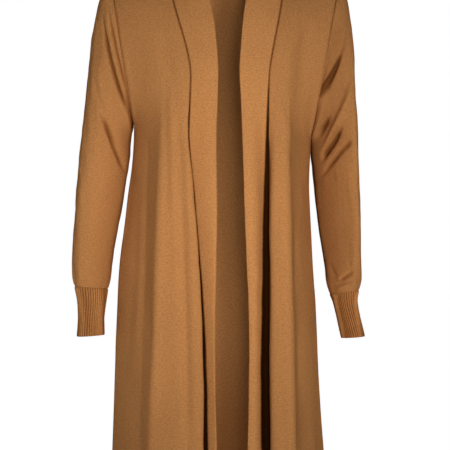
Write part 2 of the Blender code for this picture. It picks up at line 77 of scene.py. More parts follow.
# Each of these tables starts with the names of its columns.
frontEdge = (
    ("z", "rollRight", "rollLeft", "rollY", "edgeRight", "edgeLeft", "edgeY", "rise", "fold"),
    (-920, -34, 77, -131, -12, 37, -126, 0, 1.00),
    (-830, -34, 76, -129, -13, 37, -124, 0, 1.00),
    (-720, -35, 75, -127, -16, 39, -122, 0, 1.00),
    (-600, -38, 75, -125, -16, 39, -120, 0, 1.00),
    (-500, -43, 75, -124, -14, 35, -119, 0, 1.00),
    (-420, -47, 74, -123, -13, 32, -119, 0, 0.90),
    (-350, -51, 74, -122, -14, 30, -119, 0, 0.74),
    (-290, -55, 73, -120, -14, 28, -119, 0, 0.42),
    (-235, -57, 73, -116, -12, 26, -118, 0, 0.12),
    (-188, -58, 75, -110, -11, 24, -115, 1, 0.00),
    (-145, -66, 82, -99, -14, 27, -108, 3, 0.00),
    (-104, -78, 90, -85, -20, 31, -98, 7, 0.00),
    (-66, -88, 96, -65, -30, 38, -81, 11, 0.00),
    (-30, -94, 99, -34, -44, 49, -46, 20, 0.00),
    (-10, -95.6, 99.8, -9, -53, 56, -18, 26, 0.00),
    (0, -96, 100, 10, -58, 60, 4, 30, 0.00),
)
bodyOutline = (
    ("z", "sideRight", "sideLeft", "backY"),
    (-920, -196, 176, 121),
    (-830, -192, 168, 117),
    (-715, -188, 160, 111),
    (-600, -184, 155, 105),
    (-508, -179, 149, 100),
    (-447, -171, 146, 97),
    (-394, -165, 143, 95),
    (-345, -158, 143, 96),
    (-279, -154.7, 146, 100),
    (-235, -156, 147, 104),
    (-185, -156, 147, 106),
    (-140, -156, 147, 104),
    (-100, -156, 147, 99),
    (-60, -156, 147, 90),
    (-11, -156, 147, 70),
)
yoke = (
    ("share", "frontZ", "backZ"),
    (0.00, -290, -286),
    (0.25, -235, -228),
    (0.38, -188, -184),
    (0.50, -145, -142),
    (0.62, -104, -105),
    (0.75, -66, -72),
    (0.88, -28, -41),
    (1.00, 0, -11),
)
neckLine = (
    ("share", "seamX", "seamY", "seamZ", "edgeX", "edgeY", "edgeZ"),
    (0.00, 1.00, 10, 0, 1.00, 4, 30),
    (0.25, 0.92, 36, -1, 0.93, 25, 38),
    (0.50, 0.67, 55, -5, 0.73, 42, 43),
    (0.75, 0.35, 66, -9, 0.39, 53, 46),
    (1.00, 0.00, 70, -11, 0.00, 57, 47),
)
rollShape = {
    "right": {"brow": (-23, 1), "crest": (9, -4), "back": (2, 14), "seam": (-14, 26),
              "seamTurn": (0.93, -0.37), "bandFoot": (10, 1), "bandBrow": (17, 3)},
    "left": {"brow": (-23, 1), "crest": (9, -4), "back": (-2, 19), "seam": (1, 31),
             "seamTurn": (0.70, -0.71), "bandFoot": (13, 8), "bandBrow": (13, -7)},
}


def unit(vectors):
    return vectors / np.maximum(np.linalg.norm(vectors, axis=-1, keepdims=True), 1e-9)


def smoothStep(value):
    value = np.clip(value, 0, 1)
    return value * value * (3 - 2 * value)


def readColumn(table, name, at):
    # a smooth curve through the table's rows
    rows = np.array(table[1:], float)
    xs, ys = rows[:, 0], rows[:, table[0].index(name)]
    at = np.clip(np.asarray(at, float), xs[0], xs[-1])
    slope = np.gradient(ys, xs)
    i = np.clip(np.searchsorted(xs, at) - 1, 0, len(xs) - 2)
    width = xs[i + 1] - xs[i]
    t = (at - xs[i]) / width
    return (ys[i] * (2 * t**3 - 3 * t**2 + 1) + ys[i + 1] * (3 * t**2 - 2 * t**3)
            + slope[i] * width * (t**3 - 2 * t**2 + t) + slope[i + 1] * width * (t**3 - t**2))


def edgeAt(name, z):
    return readColumn(frontEdge, name, z)


def sided(name, side):
    return name + side.capitalize()


def bezier(a, b, c, d, t):
    t = np.asarray(t)[:, None]
    return (1 - t) ** 3 * a + 3 * (1 - t) ** 2 * t * b + 3 * (1 - t) * t**2 * c + t**3 * d


def flatPoint(x, z):
    return np.array((x, 0.0, z))


def armholeEnds(side):
    return flatPoint(*garment["armpit"][side]), flatPoint(*garment["shoulderTip"][side])


def armholePoint(side, share, half):
    # share 0 at the armpit and 1 at the shoulder tip, half -1 in front and 1 behind
    pit, tip = armholeEnds(side)
    angle = math.pi * share
    deep = np.array((0, half * garment["armholeHalfDepth"], 0))
    return (pit + tip) / 2 - (tip - pit) / 2 * math.cos(angle) + deep * math.sin(angle)


def armholeOut(side, share, half):
    pit, tip = armholeEnds(side)
    angle = math.pi * share
    along = (tip - pit) / 2
    deep = np.array((0, half, 0)) / garment["armholeHalfDepth"]
    return unit(-along / (along @ along) * math.cos(angle) + deep * math.sin(angle))


def towardsBody(side):
    pit, tip = armholeEnds(side)
    way = unit(np.cross(tip - pit, (0, 1, 0)))
    return way * np.sign(way[0] * inwardWay[side])


def sideNeck(side):
    return np.array((edgeAt(sided("roll", side), 0), edgeAt("rollY", 0), 0.0))


def quarterRing(u, start, end, power):
    # shares across and forward on a quarter ring, squarer the further its power is under 1
    angle = start + (end - start) * u
    c, s = np.abs(np.cos(angle)) ** power, np.abs(np.sin(angle)) ** power
    c0, s0 = abs(math.cos(start)) ** power, abs(math.sin(start)) ** power
    c1, s1 = abs(math.cos(end)) ** power, abs(math.sin(end)) ** power
    return (c0 - c) / (c0 - c1), (s - s0) / (s1 - s0)


def startAngle(a, b, end, share, power):
    depth = min(1, abs(a[1] / b[1]) * math.sin(end) ** power) if b[1] else 0
    natural = math.asin(depth ** (1 / power))
    turn = float(smoothStep((share - garment["turnFrom"]) / (1 - garment["turnFrom"])))
    return natural * (1 - turn) + garment["topTurn"] * turn


def sectionLine(a, b, u, start, end, power):
    across, forward = quarterRing(u, start, end, power)
    return a + (b - a) * np.stack([across, forward, (across + u) / 2], axis=1)


def stepped(point, side, step):
    return point + np.array((inwardWay[side] * step[0], step[1], 0))


def rollLine(side, z):
    return np.array((edgeAt(sided("roll", side), z), edgeAt("rollY", z), z)), float(edgeAt("fold", z))


def rowHeight(column, low, top):
    foot = float(readColumn(yoke, column, 0))
    if top > 0:
        return float(readColumn(yoke, column, top))
    return garment["hem"] + (foot - garment["hem"]) * low


def sidePoint(side, low, top, half):
    if top > 0:
        return armholePoint(side, top, half)
    pitX, pitZ = garment["armpit"][side]
    z = garment["hem"] + (pitZ - garment["hem"]) * low
    x = readColumn(bodyOutline, sided("side", side), z)
    x = x + (pitX - readColumn(bodyOutline, sided("side", side), pitZ)) * low**8
    return np.array((float(x), 0.0, z))


def crowdEnds(count, extra=5):
    # shares from 0 to 1, closer together at both ends
    plain = np.linspace(0, 1, count)
    near = np.linspace(0, 1, extra + 2)[1:-1] ** 1.6 * plain[1]
    return np.unique(np.concatenate([plain, near, 1 - near]))


# Rows from the hem to the armpit, closer together where the hem is folded and stitched, then to the shoulder.
hemSteps = np.array((0, 0.4, 1.0, 1.8, 3, 5, 8, 12, 16, 18.5, 20.3, 22, 23.7, 25.5, 28)) / 630
lowShares = np.concatenate([hemSteps, np.linspace(32 / 630, 1, 140)[:-1]])
topShares = np.linspace(0, 1, 112)
bodyRowShares = [(float(share), 0.0) for share in lowShares] + [(1.0, float(share)) for share in topShares]
lowCount = len(lowShares)


def gridNormals(grid, ring=False):
    along = np.gradient(grid, axis=0)
    across = np.roll(grid, -1, axis=1) - np.roll(grid, 1, axis=1) if ring else np.gradient(grid, axis=1)
    return unit(np.cross(across, along))


def blurRows(grid, width, weight):
    # evens out the rows where weight is over 0, and leaves the edges of the grid
    reach = int(width * 3)
    kernel = np.exp(-((np.arange(-reach, reach + 1) / width) ** 2) / 2)
    kernel /= kernel.sum()
    padded = np.pad(grid, ((reach, reach), (0, 0), (0, 0)), mode="reflect", reflect_type="odd")
    blurred = sum(k * padded[i : i + len(grid)] for i, k in enumerate(kernel))
    return grid + (blurred - grid) * weight[..., None]


def unevenness(seed, u, v, sizeU, sizeV, octaves=3):
    # smooth seeded noise between about -1 and 1 over two coordinates in mm
    randomWaves = np.random.default_rng(seed)
    total = np.zeros(np.broadcast(u, v).shape)
    for octave in range(octaves):
        for _ in range(7):
            angle = randomWaves.uniform(0, 2 * math.pi)
            phase = randomWaves.uniform(0, 2 * math.pi)
            stretch = randomWaves.uniform(0.6, 1.5) * 2**octave
            along = u / sizeU * math.cos(angle) + v / sizeV * math.sin(angle)
            total = total + np.sin(along * 6.28 * stretch + phase) / 2**octave
    return total / 4.5


def creaseRelief(x, z, table):
    # Height of soft creases drawn on the front view, each a row of startX, startZ, midX, midZ, endX, endZ,
    # halfWidth, depth and pair: depth is the height of the middle, minus for a trough, and pair adds a ridge
    # on the left of the way it runs and a trough on its right.
    relief = np.zeros_like(x)
    t = np.linspace(0, 1, 33)
    for *ends, halfWidth, depth, pair in table:
        a, b, c = np.array(ends, float).reshape(3, 2)
        path = np.outer((1 - t) ** 2, a) + np.outer(2 * (1 - t) * t, 2 * b - (a + c) / 2) + np.outer(t**2, c)
        best = np.full(x.shape, 1e9)
        signedBest, shareBest = np.zeros_like(x), np.zeros_like(x)
        for share, spot, run in zip(t, path, np.gradient(path, axis=0)):
            dx, dz = x - spot[0], z - spot[1]
            away = dx * dx + dz * dz
            length = math.hypot(*run)
            along = (dx * run[0] + dz * run[1]) / length
            nearer = away < best
            best = np.where(nearer, away, best)
            signedBest = np.where(nearer, (dx * run[1] - dz * run[0]) / length, signedBest)
            shareBest = np.where(nearer, share + along / length / (len(t) - 1), shareBest)
        fade = smoothStep(shareBest / 0.3) * smoothStep((1 - shareBest) / 0.3)
        width = halfWidth * (0.55 + 0.45 * fade)
        bell = np.exp(-((signedBest / width) ** 2)) * fade
        relief += depth * bell - pair * signedBest / width * bell * 1.6
    return relief


def seamDip(distance):
    return -garment["seamDip"] * np.exp(-((distance / garment["seamWidth"]) ** 2))


def rowLengths(grid):
    steps = np.linalg.norm(np.diff(grid, axis=1), axis=2)
    return np.concatenate([np.zeros((len(grid), 1)), np.cumsum(steps, axis=1)], axis=1)


def columnLengths(grid):
    steps = np.linalg.norm(np.diff(grid, axis=0), axis=2)
    return np.concatenate([np.zeros((1, grid.shape[1])), np.cumsum(steps, axis=0)], axis=0)


def inScene(name, data):
    piece = bpy.data.objects.new(name, data)
    bpy.context.scene.collection.objects.link(piece)
    return piece


def addPointValues(mesh, name, values, kind="FLOAT"):
    field = "value" if kind == "FLOAT" else "vector"
    mesh.attributes.new(name, kind, "POINT").data.foreach_set(field, values.ravel().astype(np.float32))


def clothMesh(name, walls, wayOut, ring, uAcross, vAlong, material, deep=0.0, paintedShadeInside=0.0):
    # A closed thin shell between two grids, with a UV map in metres of cloth and its painted shade as
    # attribute deep.
    outer, inner = walls
    rows, columns = outer.shape[:2]
    last, wide = (columns, columns + 1) if ring else (columns - 1, columns)

    def corner(i, j):
        # a point's number in the mesh and in the cloth map, which has the first column of a ring twice
        return np.stack([i * columns + j % columns, i * wide + j], axis=-1)

    def faceOf(*corners):
        return np.stack(corners, axis=1)

    i, j = (part.ravel() for part in np.meshgrid(np.arange(rows - 1), np.arange(last), indexing="ij"))
    quads = faceOf(corner(i, j), corner(i, j + 1), corner(i + 1, j + 1), corner(i + 1, j))
    i, j = np.arange(rows - 1), np.arange(last)
    rims = [faceOf(corner(0, j + 1), corner(0, j)), faceOf(corner(rows - 1, j), corner(rows - 1, j + 1))]
    if not ring:
        rims += [faceOf(corner(i, 0), corner(i + 1, 0)), faceOf(corner(i + 1, last), corner(i, last))]
    rims = np.concatenate(rims)
    behind = (rows * columns, 0)
    rims = np.concatenate([rims, rims[:, ::-1] + behind], axis=1)
    faces = np.concatenate([quads, quads[:, ::-1] + behind, rims])
    if wayOut < 0:
        faces = faces[:, ::-1]
    mesh = bpy.data.meshes.new(name)
    points = np.concatenate([outer.reshape(-1, 3), inner.reshape(-1, 3)]) * mm
    mesh.vertices.add(len(points))
    mesh.vertices.foreach_set("co", points.ravel())
    mesh.loops.add(faces.size // 2)
    mesh.loops.foreach_set("vertex_index", faces[..., 0].ravel().astype(np.int32))
    mesh.polygons.add(len(faces))
    mesh.polygons.foreach_set("loop_start", np.arange(0, faces.size // 2, 4, dtype=np.int32))
    mesh.update(calc_edges=True)
    mesh.validate()
    places = np.stack([uAcross.ravel(), vAlong.ravel()], axis=1)[faces[..., 1].ravel()] * mm
    mesh.uv_layers.new(name="knitMap").data.foreach_set("uv", places.ravel().astype(np.float32))
    paintedShadeBySide = [np.broadcast_to(part, outer.shape[:2]) for part in (deep, paintedShadeInside)]
    addPointValues(mesh, "deep", np.stack(paintedShadeBySide))
    mesh.shade_smooth()
    mesh.materials.append(material)
    return inScene(name, mesh)


# Materials
knit = {
    "wale": 0.0017,
    "course": 0.0013,
    "relief": 0.00045,
    "melange": 0.80,
    "dark": (0.235, 0.085, 0.024),
    "light": (0.592, 0.266, 0.089),
    "paintedShadeTint": (1.0, 0.66, 0.36),
    "seamLineWidth": 0.0013,
    # noise over the cloth: waves a metre across and along, detail, roughness
    "drift": (90, 60, 2, 0.5),
    "fleck": (250, 640, 3, 0.75),
    "patch": (70, 300, 3, 0.6),
    "cloud": (14, 8, 2, 0.5),
    "ribPaintedShade": 0.75,
}


def addNode(tree, kind, given=None, **settings):
    # given fills inputs of the node, each with a value or with another node's output
    node = tree.nodes.new(kind)
    for name, value in settings.items():
        setattr(node, name, value)
    for name, value in (given or {}).items():
        if isinstance(value, bpy.types.NodeSocket):
            tree.links.new(value, node.inputs[name])
        else:
            node.inputs[name].default_value = value
    return node


def calc(tree, operation, *values, clamp=False):
    given = dict(enumerate(values))
    return addNode(tree, "ShaderNodeMath", given, operation=operation, use_clamp=clamp).outputs[0]


def blend(tree, factor, a, b, way="MIX"):
    given = {"Factor": factor, 6: a, 7: b}
    return addNode(tree, "ShaderNodeMix", given, data_type="RGBA", blend_type=way).outputs[2]


def newTree(name, kind, inputs, outputs):
    # a node group with named sockets, each with its kind and, for an input, a first value
    tree = bpy.data.node_groups.new(name, kind)
    for way, sockets in (("INPUT", inputs), ("OUTPUT", outputs)):
        for label, (socketKind, *value) in sockets.items():
            socket = tree.interface.new_socket(name=label, in_out=way, socket_type="NodeSocket" + socketKind)
            if value:
                socket.default_value = value[0]
    return tree, addNode(tree, "NodeGroupInput").outputs, addNode(tree, "NodeGroupOutput").inputs


def newMaterial(name):
    material = bpy.data.materials.new(name)
    material.use_nodes = True
    return material, material.node_tree, material.node_tree.nodes["Principled BSDF"].inputs


def shade(colour, amount=1.0):
    return (*(part * amount for part in colour), 1)


def knitGroup():
    # Jersey stitches, flecked yarn and soft unevenness, all over the piece's own cloth map, with painted
    # shade laid on.
    tree, given, result = newTree("flatKnit", "ShaderNodeTree", {
        "Map": ("Vector",), "Wale": ("Float", 0.0017), "Course": ("Float", 0.0013), "Melange": ("Float", 0.5),
        "Seam Distance": ("Float", 1.0), "Seam Line": ("Float", 0.62), "Groove": ("Float", 0.0),
        "Dark": ("Color", (0.2, 0.1, 0.05, 1)), "Light": ("Color", (0.5, 0.3, 0.1, 1)),
    }, {"Colour": ("Color",), "Height": ("Float",), "Roughness": ("Float",)})
    work = partial(calc, tree)

    def noise(name, amount):
        # soft noise around 0
        across, along, detail, rough = knit[name]
        scaled = {0: given["Map"], 1: (across, along, 1)}
        place = addNode(tree, "ShaderNodeVectorMath", scaled, operation="MULTIPLY").outputs[0]
        settings = {"Vector": place, "Scale": 1, "Detail": detail, "Roughness": rough}
        waves = addNode(tree, "ShaderNodeTexNoise", settings, noise_dimensions="2D").outputs["Fac"]
        return work("MULTIPLY", work("SUBTRACT", waves, 0.5), amount)

    spot = addNode(tree, "ShaderNodeSeparateXYZ", {0: given["Map"]}).outputs
    u = work("DIVIDE", work("ADD", spot["X"], noise("drift", 0.0012)), given["Wale"])
    side = work("MULTIPLY", work("ABSOLUTE", work("SUBTRACT", work("FRACT", u), 0.5)), 2)
    leg = work("SINE", work("MULTIPLY", side, math.pi))
    v = work("DIVIDE", spot["Y"], given["Course"])
    lean = work("FRACT", work("ADD", v, work("MULTIPLY", side, 0.55)))
    loop = work("SINE", work("MULTIPLY", lean, math.pi))
    height = work("MULTIPLY", work("POWER", leg, 0.6), work("MULTIPLY_ADD", loop, 0.55, 0.45))

    mixed = work("MULTIPLY", work("ADD", noise("fleck", 1.6), noise("patch", 0.4)), given["Melange"])
    mixed = work("ADD", mixed, noise("cloud", 0.16))
    # painted shade between the stitches: the lower the stitch, the nearer the dark yarn tone
    mixed = work("ADD", mixed, work("MULTIPLY_ADD", height, 0.34, 0.46), clamp=True)
    yarn = blend(tree, mixed, given["Dark"], given["Light"])
    # painted shade along a seam, partly the real darker look of its tighter stitches, and by Groove in a
    # fold's hollow, warmer as it deepens
    near = work("POWER", work("DIVIDE", given["Seam Distance"], knit["seamLineWidth"]), 2.0)
    line = work("MULTIPLY", work("EXPONENT", work("MULTIPLY", near, -1.0)), given["Seam Line"])
    dark = work("MAXIMUM", line, given["Groove"])
    warm = blend(tree, dark, yarn, shade(knit["paintedShadeTint"]), "MULTIPLY")
    left = work("SUBTRACT", 1.0, dark)
    colour = addNode(tree, "ShaderNodeVectorMath", {0: warm, "Scale": left}, operation="SCALE").outputs[0]
    dry = work("MULTIPLY_ADD", mixed, -0.20, 0.74)
    for name, value in (("Colour", colour), ("Height", height), ("Roughness", dry)):
        tree.links.new(value, result[name])
    return tree


flatKnit = knitGroup()


def knitMaterial(name, bright=1.0, seamAxis="", wale=1.0, course=1.0, relief=1.0, seamLine=0.62, ribs=0):
    # The seam lies where the cloth map's seamAxis is 0, the attribute deep is the painted shade of folds,
    # creases, armpits and the inside near the hem, and ribs are counted on a metre of the map.
    material, tree, shader = newMaterial(name)
    work = partial(calc, tree)
    clothMap = addNode(tree, "ShaderNodeUVMap", uv_map="knitMap").outputs[0]
    deep = addNode(tree, "ShaderNodeAttribute", attribute_name="deep").outputs["Fac"]
    given = {"Map": clothMap, "Wale": knit["wale"] * wale, "Course": knit["course"] * course,
             "Melange": knit["melange"], "Seam Line": seamLine, "Dark": shade(knit["dark"], bright),
             "Light": shade(knit["light"], bright)}
    if seamAxis:
        spot = addNode(tree, "ShaderNodeSeparateXYZ", {0: clothMap}).outputs
        given["Seam Distance"] = work("ABSOLUTE", spot[seamAxis])
    # painted shade in the grooves between the ribs
    if ribs:
        ridge = work("ABSOLUTE", work("SINE", work("MULTIPLY", spot["X"], ribs * math.pi)))
        groove = work("SUBTRACT", 1.0, ridge)
        deep = work("MAXIMUM", deep, work("MULTIPLY", work("POWER", groove, 1.3), knit["ribPaintedShade"]))
    cloth = addNode(tree, "ShaderNodeGroup", {**given, "Groove": deep}, node_tree=flatKnit).outputs
    relief = {"Strength": 0.7, "Distance": knit["relief"] * relief, "Height": cloth["Height"]}
    normal = addNode(tree, "ShaderNodeBump", relief).outputs["Normal"]
    tree.links.new(cloth["Colour"], shader["Base Color"])
    tree.links.new(cloth["Roughness"], shader["Roughness"])
    tree.links.new(normal, shader["Normal"])
    shader["Specular IOR Level"].default_value = 0.0
    return material


def sidedKnit(name, bright, **settings):
    # the same knit for the right and the left piece, each lighter or darker by its own level: painted light
    # and shade
    return {side: knitMaterial(sided(name, side), tone, **settings) for side, tone in zip(sides, bright)}


# painted shade: fronts and sleeves darker on the left than on the right; painted light: the bands lighter
panelKnit = sidedKnit("panelKnit", (0.97, 0.92), seamAxis="X")
bandKnit = knitMaterial("bandKnit", 1.06, "X", wale=0.92, course=0.85)
backKnit = knitMaterial("backKnit")
sleeveKnit = sidedKnit("sleeveKnit", (0.98, 0.85), seamAxis="Y")
cuffKnit = {side: knitMaterial(sided("cuffKnit", side), 1.0, "Y", 0.9, relief=1.2, seamLine=0.2, ribs=ribs)
            for side, ribs in (("right", 245), ("left", 263))}
print("materials made")


def wallAround(grid, out, thickness, fromEdge, roundness=1.2):
    # The outer and inner side of the cloth, rounded off towards a free edge.
    share = np.clip(fromEdge / roundness, 0, 1)
    half = thickness / 2 * np.maximum(np.sqrt(1 - (1 - share) ** 2), 0.08)
    middle = grid - out * np.broadcast_to(thickness / 2, grid.shape[:2])[..., None]
    reach = out * np.broadcast_to(half, grid.shape[:2])[..., None]
    return middle + reach, middle - reach


# Body panels and bands
def largeFolds(grid, out, across, folds):
    # each fold is a row of topU, hemU, topZ, halfWidth and depth
    z = grid[..., 2]
    moved = np.zeros_like(z)
    for topU, hemU, topZ, halfWidth, depth in folds:
        share = np.clip((topZ - z) / (topZ - garment["hem"]), 0, 1)
        middle = topU + (hemU - topU) * share
        reach = np.exp(-(((across[None, :] - middle) / halfWidth) ** 2))
        moved += depth * reach * smoothStep((topZ - z) / 160) * (0.45 + 0.55 * share)
    moved[:, [0, -1]] = 0
    return grid + out * moved[..., None]


frontPanels = {
    "right": {
        "columns": 88,
        "seed": 11,
        "unevenness": 0.9,
        "largeFolds": (
            (0.74, 0.74, -260, 0.05, -3.0),
            (0.58, 0.49, -230, 0.07, 4.0),
            (0.40, 0.33, -260, 0.09, -1.0),
        ),
        "ridge": (
            ("z", "x", "weight"),
            (-925, -128, 0.80),
            (-700, -121, 0.80),
            (-480, -112, 0.80),
            (-320, -107, 0.65),
            (-200, -106, 0.30),
            (-60, -108, 0.00),
        ),
        "creases": (
            (-156, -110, -146, -190, -140, -320, 18, -2.0, 0.0),
            (-80, -230, -70, -480, -58, -925, 8, -4.2, 0.0),
            (-106, -230, -112, -490, -129, -925, 9, 2.6, 1.4),
            (-146, -380, -152, -520, -162, -700, 7, -1.2, 0.4),
            (-93, -190, -90, -330, -84, -480, 6, 1.6, 0.4),
            (-112, -120, -95, -160, -88, -215, 12, -1.8, 0.5),
            (-85, -165, -76, -205, -72, -250, 10, 1.4, 0.0),
            (-128, -300, -132, -440, -146, -900, 6, -1.3, 0.4),
        ),
    },
    "left": {
        "columns": 88,
        "seed": 12,
        "unevenness": 0.9,
        "largeFolds": (
            (0.67, 0.64, -260, 0.07, 3.5),
            (0.46, 0.44, -300, 0.10, -4.0),
            (0.20, 0.22, -380, 0.09, 2.5),
        ),
        "ridge": (
            ("z", "x", "weight"),
            (-925, 119, 0.95),
            (-700, 112, 0.95),
            (-480, 108, 0.95),
            (-320, 106, 0.95),
            (-200, 105, 0.90),
            (-100, 106, 0.80),
            (-20, 110, 0.00),
        ),
        "creases": (
            (114, -40, 106, -180, 104, -340, 24, 3.0, 0.0),
            (138, -90, 128, -170, 124, -260, 13, -3.5, 0.0),
            (105, -260, 107, -520, 117, -925, 8, 2.4, -1.4),
            (142, -420, 146, -560, 156, -800, 7, 1.8, 0.4),
            (160, -80, 130, -115, 108, -160, 9, 1.6, 1.0),
            (168, -120, 145, -160, 120, -200, 10, -1.2, 0.8),
            (148, -300, 138, -330, 130, -390, 7, 1.2, 0.7),
        ),
    },
}
backPanel = {
    "columns": 138,
    "seed": 13,
    "unevenness": 1.1,
    "largeFolds": (
        (0.18, 0.15, -380, 0.05, -6.0),
        (0.31, 0.29, -330, 0.06, 5.0),
        (0.44, 0.45, -420, 0.05, -5.0),
        (0.58, 0.60, -360, 0.06, 6.0),
        (0.72, 0.73, -340, 0.05, -5.0),
        (0.85, 0.87, -400, 0.05, 5.0),
    ),
    "creases": (
        (-150, -290, -120, -330, -95, -400, 9, 2.0, 1.0),
        (143, -300, 118, -335, 92, -410, 9, 2.0, 1.0),
        (-120, -150, -105, -210, -98, -270, 12, -1.8, 0.6),
        (118, -160, 104, -215, 98, -280, 12, -1.8, 0.6),
        (-40, -420, -30, -600, -36, -925, 12, 1.6, 0.8),
        (55, -460, 48, -640, 55, -925, 12, 1.6, 0.8),
    ),
}
bands = {
    "columns": 28,
    "thickness": 2.8,
    "crown": 2.0,
    "puckerHeight": 0.22,
    "puckerPitch": 6.5,
    "seed": {"right": 21, "left": 22},
}


def frontRow(side, a, z, share, u):
    roll = rollShape[side]
    flat, fold = rollLine(side, z)
    power = garment["frontPower"]
    start = startAngle(a, flat, garment["frontTurn"], share, power)
    plain = sectionLine(a, flat, u, start, garment["frontTurn"], power)
    if fold == 0:
        return plain
    onFace = u[u <= garment["rollStart"]]
    onRoll = u[u > garment["rollStart"]]
    brow, crest, back, seam = (stepped(flat, side, roll[name]) for name in ("brow", "crest", "back", "seam"))
    face = sectionLine(a, brow, onFace / garment["rollStart"], start, garment["frontTurn"], power)
    t = (onRoll - garment["rollStart"]) / (1 - garment["rollStart"])
    rolled = np.concatenate([face, bezier(brow, crest, back, seam, t)])
    return plain * (1 - fold) + rolled * fold


def frontGrid(side, u):
    tip = flatPoint(*garment["shoulderTip"][side])
    rows = []
    for low, top in bodyRowShares:
        row = frontRow(side, sidePoint(side, low, top, -1), rowHeight("frontZ", low, top), top, u)
        if top > 0:
            straight = tip + (sideNeck(side) - tip) * u[:, None]
            plain = sectionLine(straight[0], straight[-1], u, garment["topTurn"], garment["frontTurn"],
                                garment["frontPower"])
            row = row + (straight - plain) * top ** garment["topPull"]
        rows.append(row)
    return np.array(rows)


def neckPoints(side, shares, line):
    base = edgeAt(sided("roll" if line == "seam" else "edge", side), 0)
    x = readColumn(neckLine, line + "X", shares) * base
    y = readColumn(neckLine, line + "Y", shares)
    z = readColumn(neckLine, line + "Z", shares)
    return np.stack([x, y, z], axis=1)


def backGrid(u, neckStart):
    halves, power = {}, garment["backPower"]
    onShoulder = u[: neckStart + 1]
    neckShares = (u[neckStart + 1 :] - garment["shoulderShare"]) / (1 - garment["shoulderShare"])
    for side in sides:
        tip = flatPoint(*garment["shoulderTip"][side])
        onSeam = tip + (sideNeck(side) - tip) * (onShoulder / garment["shoulderShare"])[:, None]
        edge = np.concatenate([onSeam, neckPoints(side, neckShares, "seam")])
        rows = []
        for low, top in bodyRowShares:
            a = sidePoint(side, low, top, 1)
            z = rowHeight("backZ", low, top)
            b = np.array((0, float(readColumn(bodyOutline, "backY", z)), z))
            start = startAngle(a, b, math.pi / 2, top, power)
            row = sectionLine(a, b, u, start, math.pi / 2, power)
            if top > 0:
                plain = sectionLine(tip, edge[-1], u, garment["topTurn"], math.pi / 2, power)
                row = row + (edge - plain) * top ** garment["topPull"]
            rows.append(row)
        halves[side] = np.array(rows)
    both = np.concatenate([halves["right"], halves["left"][:, -2::-1]], axis=1)
    return both, np.concatenate([u / 2, 1 - u[-2::-1] / 2])


def bandGrid(side, u, neckShares):
    roll = rollShape[side]
    crown = np.outer(np.sin(math.pi * u), (0, -bands["crown"], 0))
    rows = []
    for low, top in bodyRowShares:
        z = rowHeight("frontZ", low, top)
        flat, fold = rollLine(side, z)
        edge = np.array((edgeAt(sided("edge", side), z), edgeAt("edgeY", z), z + edgeAt("rise", z)))
        plain = flat + (edge - flat) * u[:, None] + crown
        seam = stepped(flat, side, roll["seam"])
        foot, brow = stepped(seam, side, roll["bandFoot"]), stepped(flat, side, roll["bandBrow"])
        rows.append(plain * (1 - fold) + bezier(seam, foot, brow, edge, u) * fold)
    for seam, edge in zip(neckPoints(side, neckShares, "seam"), neckPoints(side, neckShares, "edge")):
        rows.append(seam + (edge - seam) * u[:, None])
    return np.array(rows)


def chestSoftening(grid, margin=8):
    # evens out the line at the armpits' height, but not the seams
    rowShare = np.exp(-(((np.arange(len(grid)) - lowCount) / 42) ** 2))
    columnShare = np.zeros(grid.shape[1])
    columnShare[margin:-margin] = 1
    columnShare = np.convolve(np.pad(columnShare, 6, mode="edge"), np.ones(13) / 13, mode="valid")
    columnShare[0] = columnShare[-1] = 0
    return blurRows(grid, 9, np.outer(rowShare, columnShare))


def hemRelief(height):
    # the stitched line at the top of the turned hem
    return -0.55 * np.exp(-(((height - garment["hemTurn"]) / 1.7) ** 2))


# widths in mm of the painted shade beside each rolled edge, by height
paintedShadeWidths = (
    ("z", "right", "left"),
    (-920, 6.5, 15.5),
    (-830, 6.5, 15.0),
    (-660, 5.5, 14.0),
    (-560, 3.6, 12.5),
    (-480, 1.8, 11.0),
    (-405, 1.6, 9.0),
    (-330, 1.6, 6.5),
    (-270, 1.5, 3.6),
    (-225, 1.0, 1.6),
    (-190, 0.0, 0.0),
)


def paintedShadeBesideRoll(grid, front, side):
    # painted shade where a row lies behind or just beside the rolled edge of its front panel
    way = inwardWay[side]
    count = len(front)
    rolled = (way * front[..., 0]).max(axis=1)[:, None]
    past = way * grid[:count, :, 0] - rolled
    wide = readColumn(paintedShadeWidths, side, front[:, -1, 2])[:, None]
    inside = 1 - smoothStep((past - wide + 1.4) / 2.8)
    deep = np.zeros(grid.shape[:2])
    deep[:count] = garment["hollowPaintedShade"] * inside * smoothStep(wide / 1.2)
    return deep


def paintedShadeBehindRoll(grid, side):
    # painted shade behind the rolled edge, between it and the seam
    past = (inwardWay[side] * grid[..., 0]).max(axis=1, keepdims=True) - inwardWay[side] * grid[..., 0]
    behind = np.arange(grid.shape[1])[None, :] > np.argmin(past, axis=1)[:, None]
    fold = edgeAt("fold", grid[:, -1, 2])[:, None]
    return garment["hollowPaintedShade"] * behind * smoothStep(past / 3) * smoothStep(fold / 0.3)


def paintedCreaseShade(relief):
    # painted shade at the bottom of the deepest creases
    return garment["creasePaintedShade"] * smoothStep((-relief - 1.5) / 5.5)


def hangStraight(grid, side, table):
    # lets the cloth hang straight from the side seam to a ridge drawn on the front view
    way = inwardWay[side]
    face = int(0.7 * grid.shape[1])
    for row, lengths in zip(grid, rowLengths(grid)):
        z = row[0, 2]
        x = way * float(readColumn(table, "x", z))
        weight = float(readColumn(table, "weight", z))
        reach = float(np.interp(x, way * row[:face, 0], lengths[:face]))
        ridge = np.array([np.interp(reach, lengths, row[:, axis]) for axis in range(3)])
        straight = row[0] + (ridge - row[0]) * (lengths / max(reach, 1.0))[:, None]
        row += (straight - row) * weight * (lengths < reach)[:, None]
    return grid


seamPaths = []


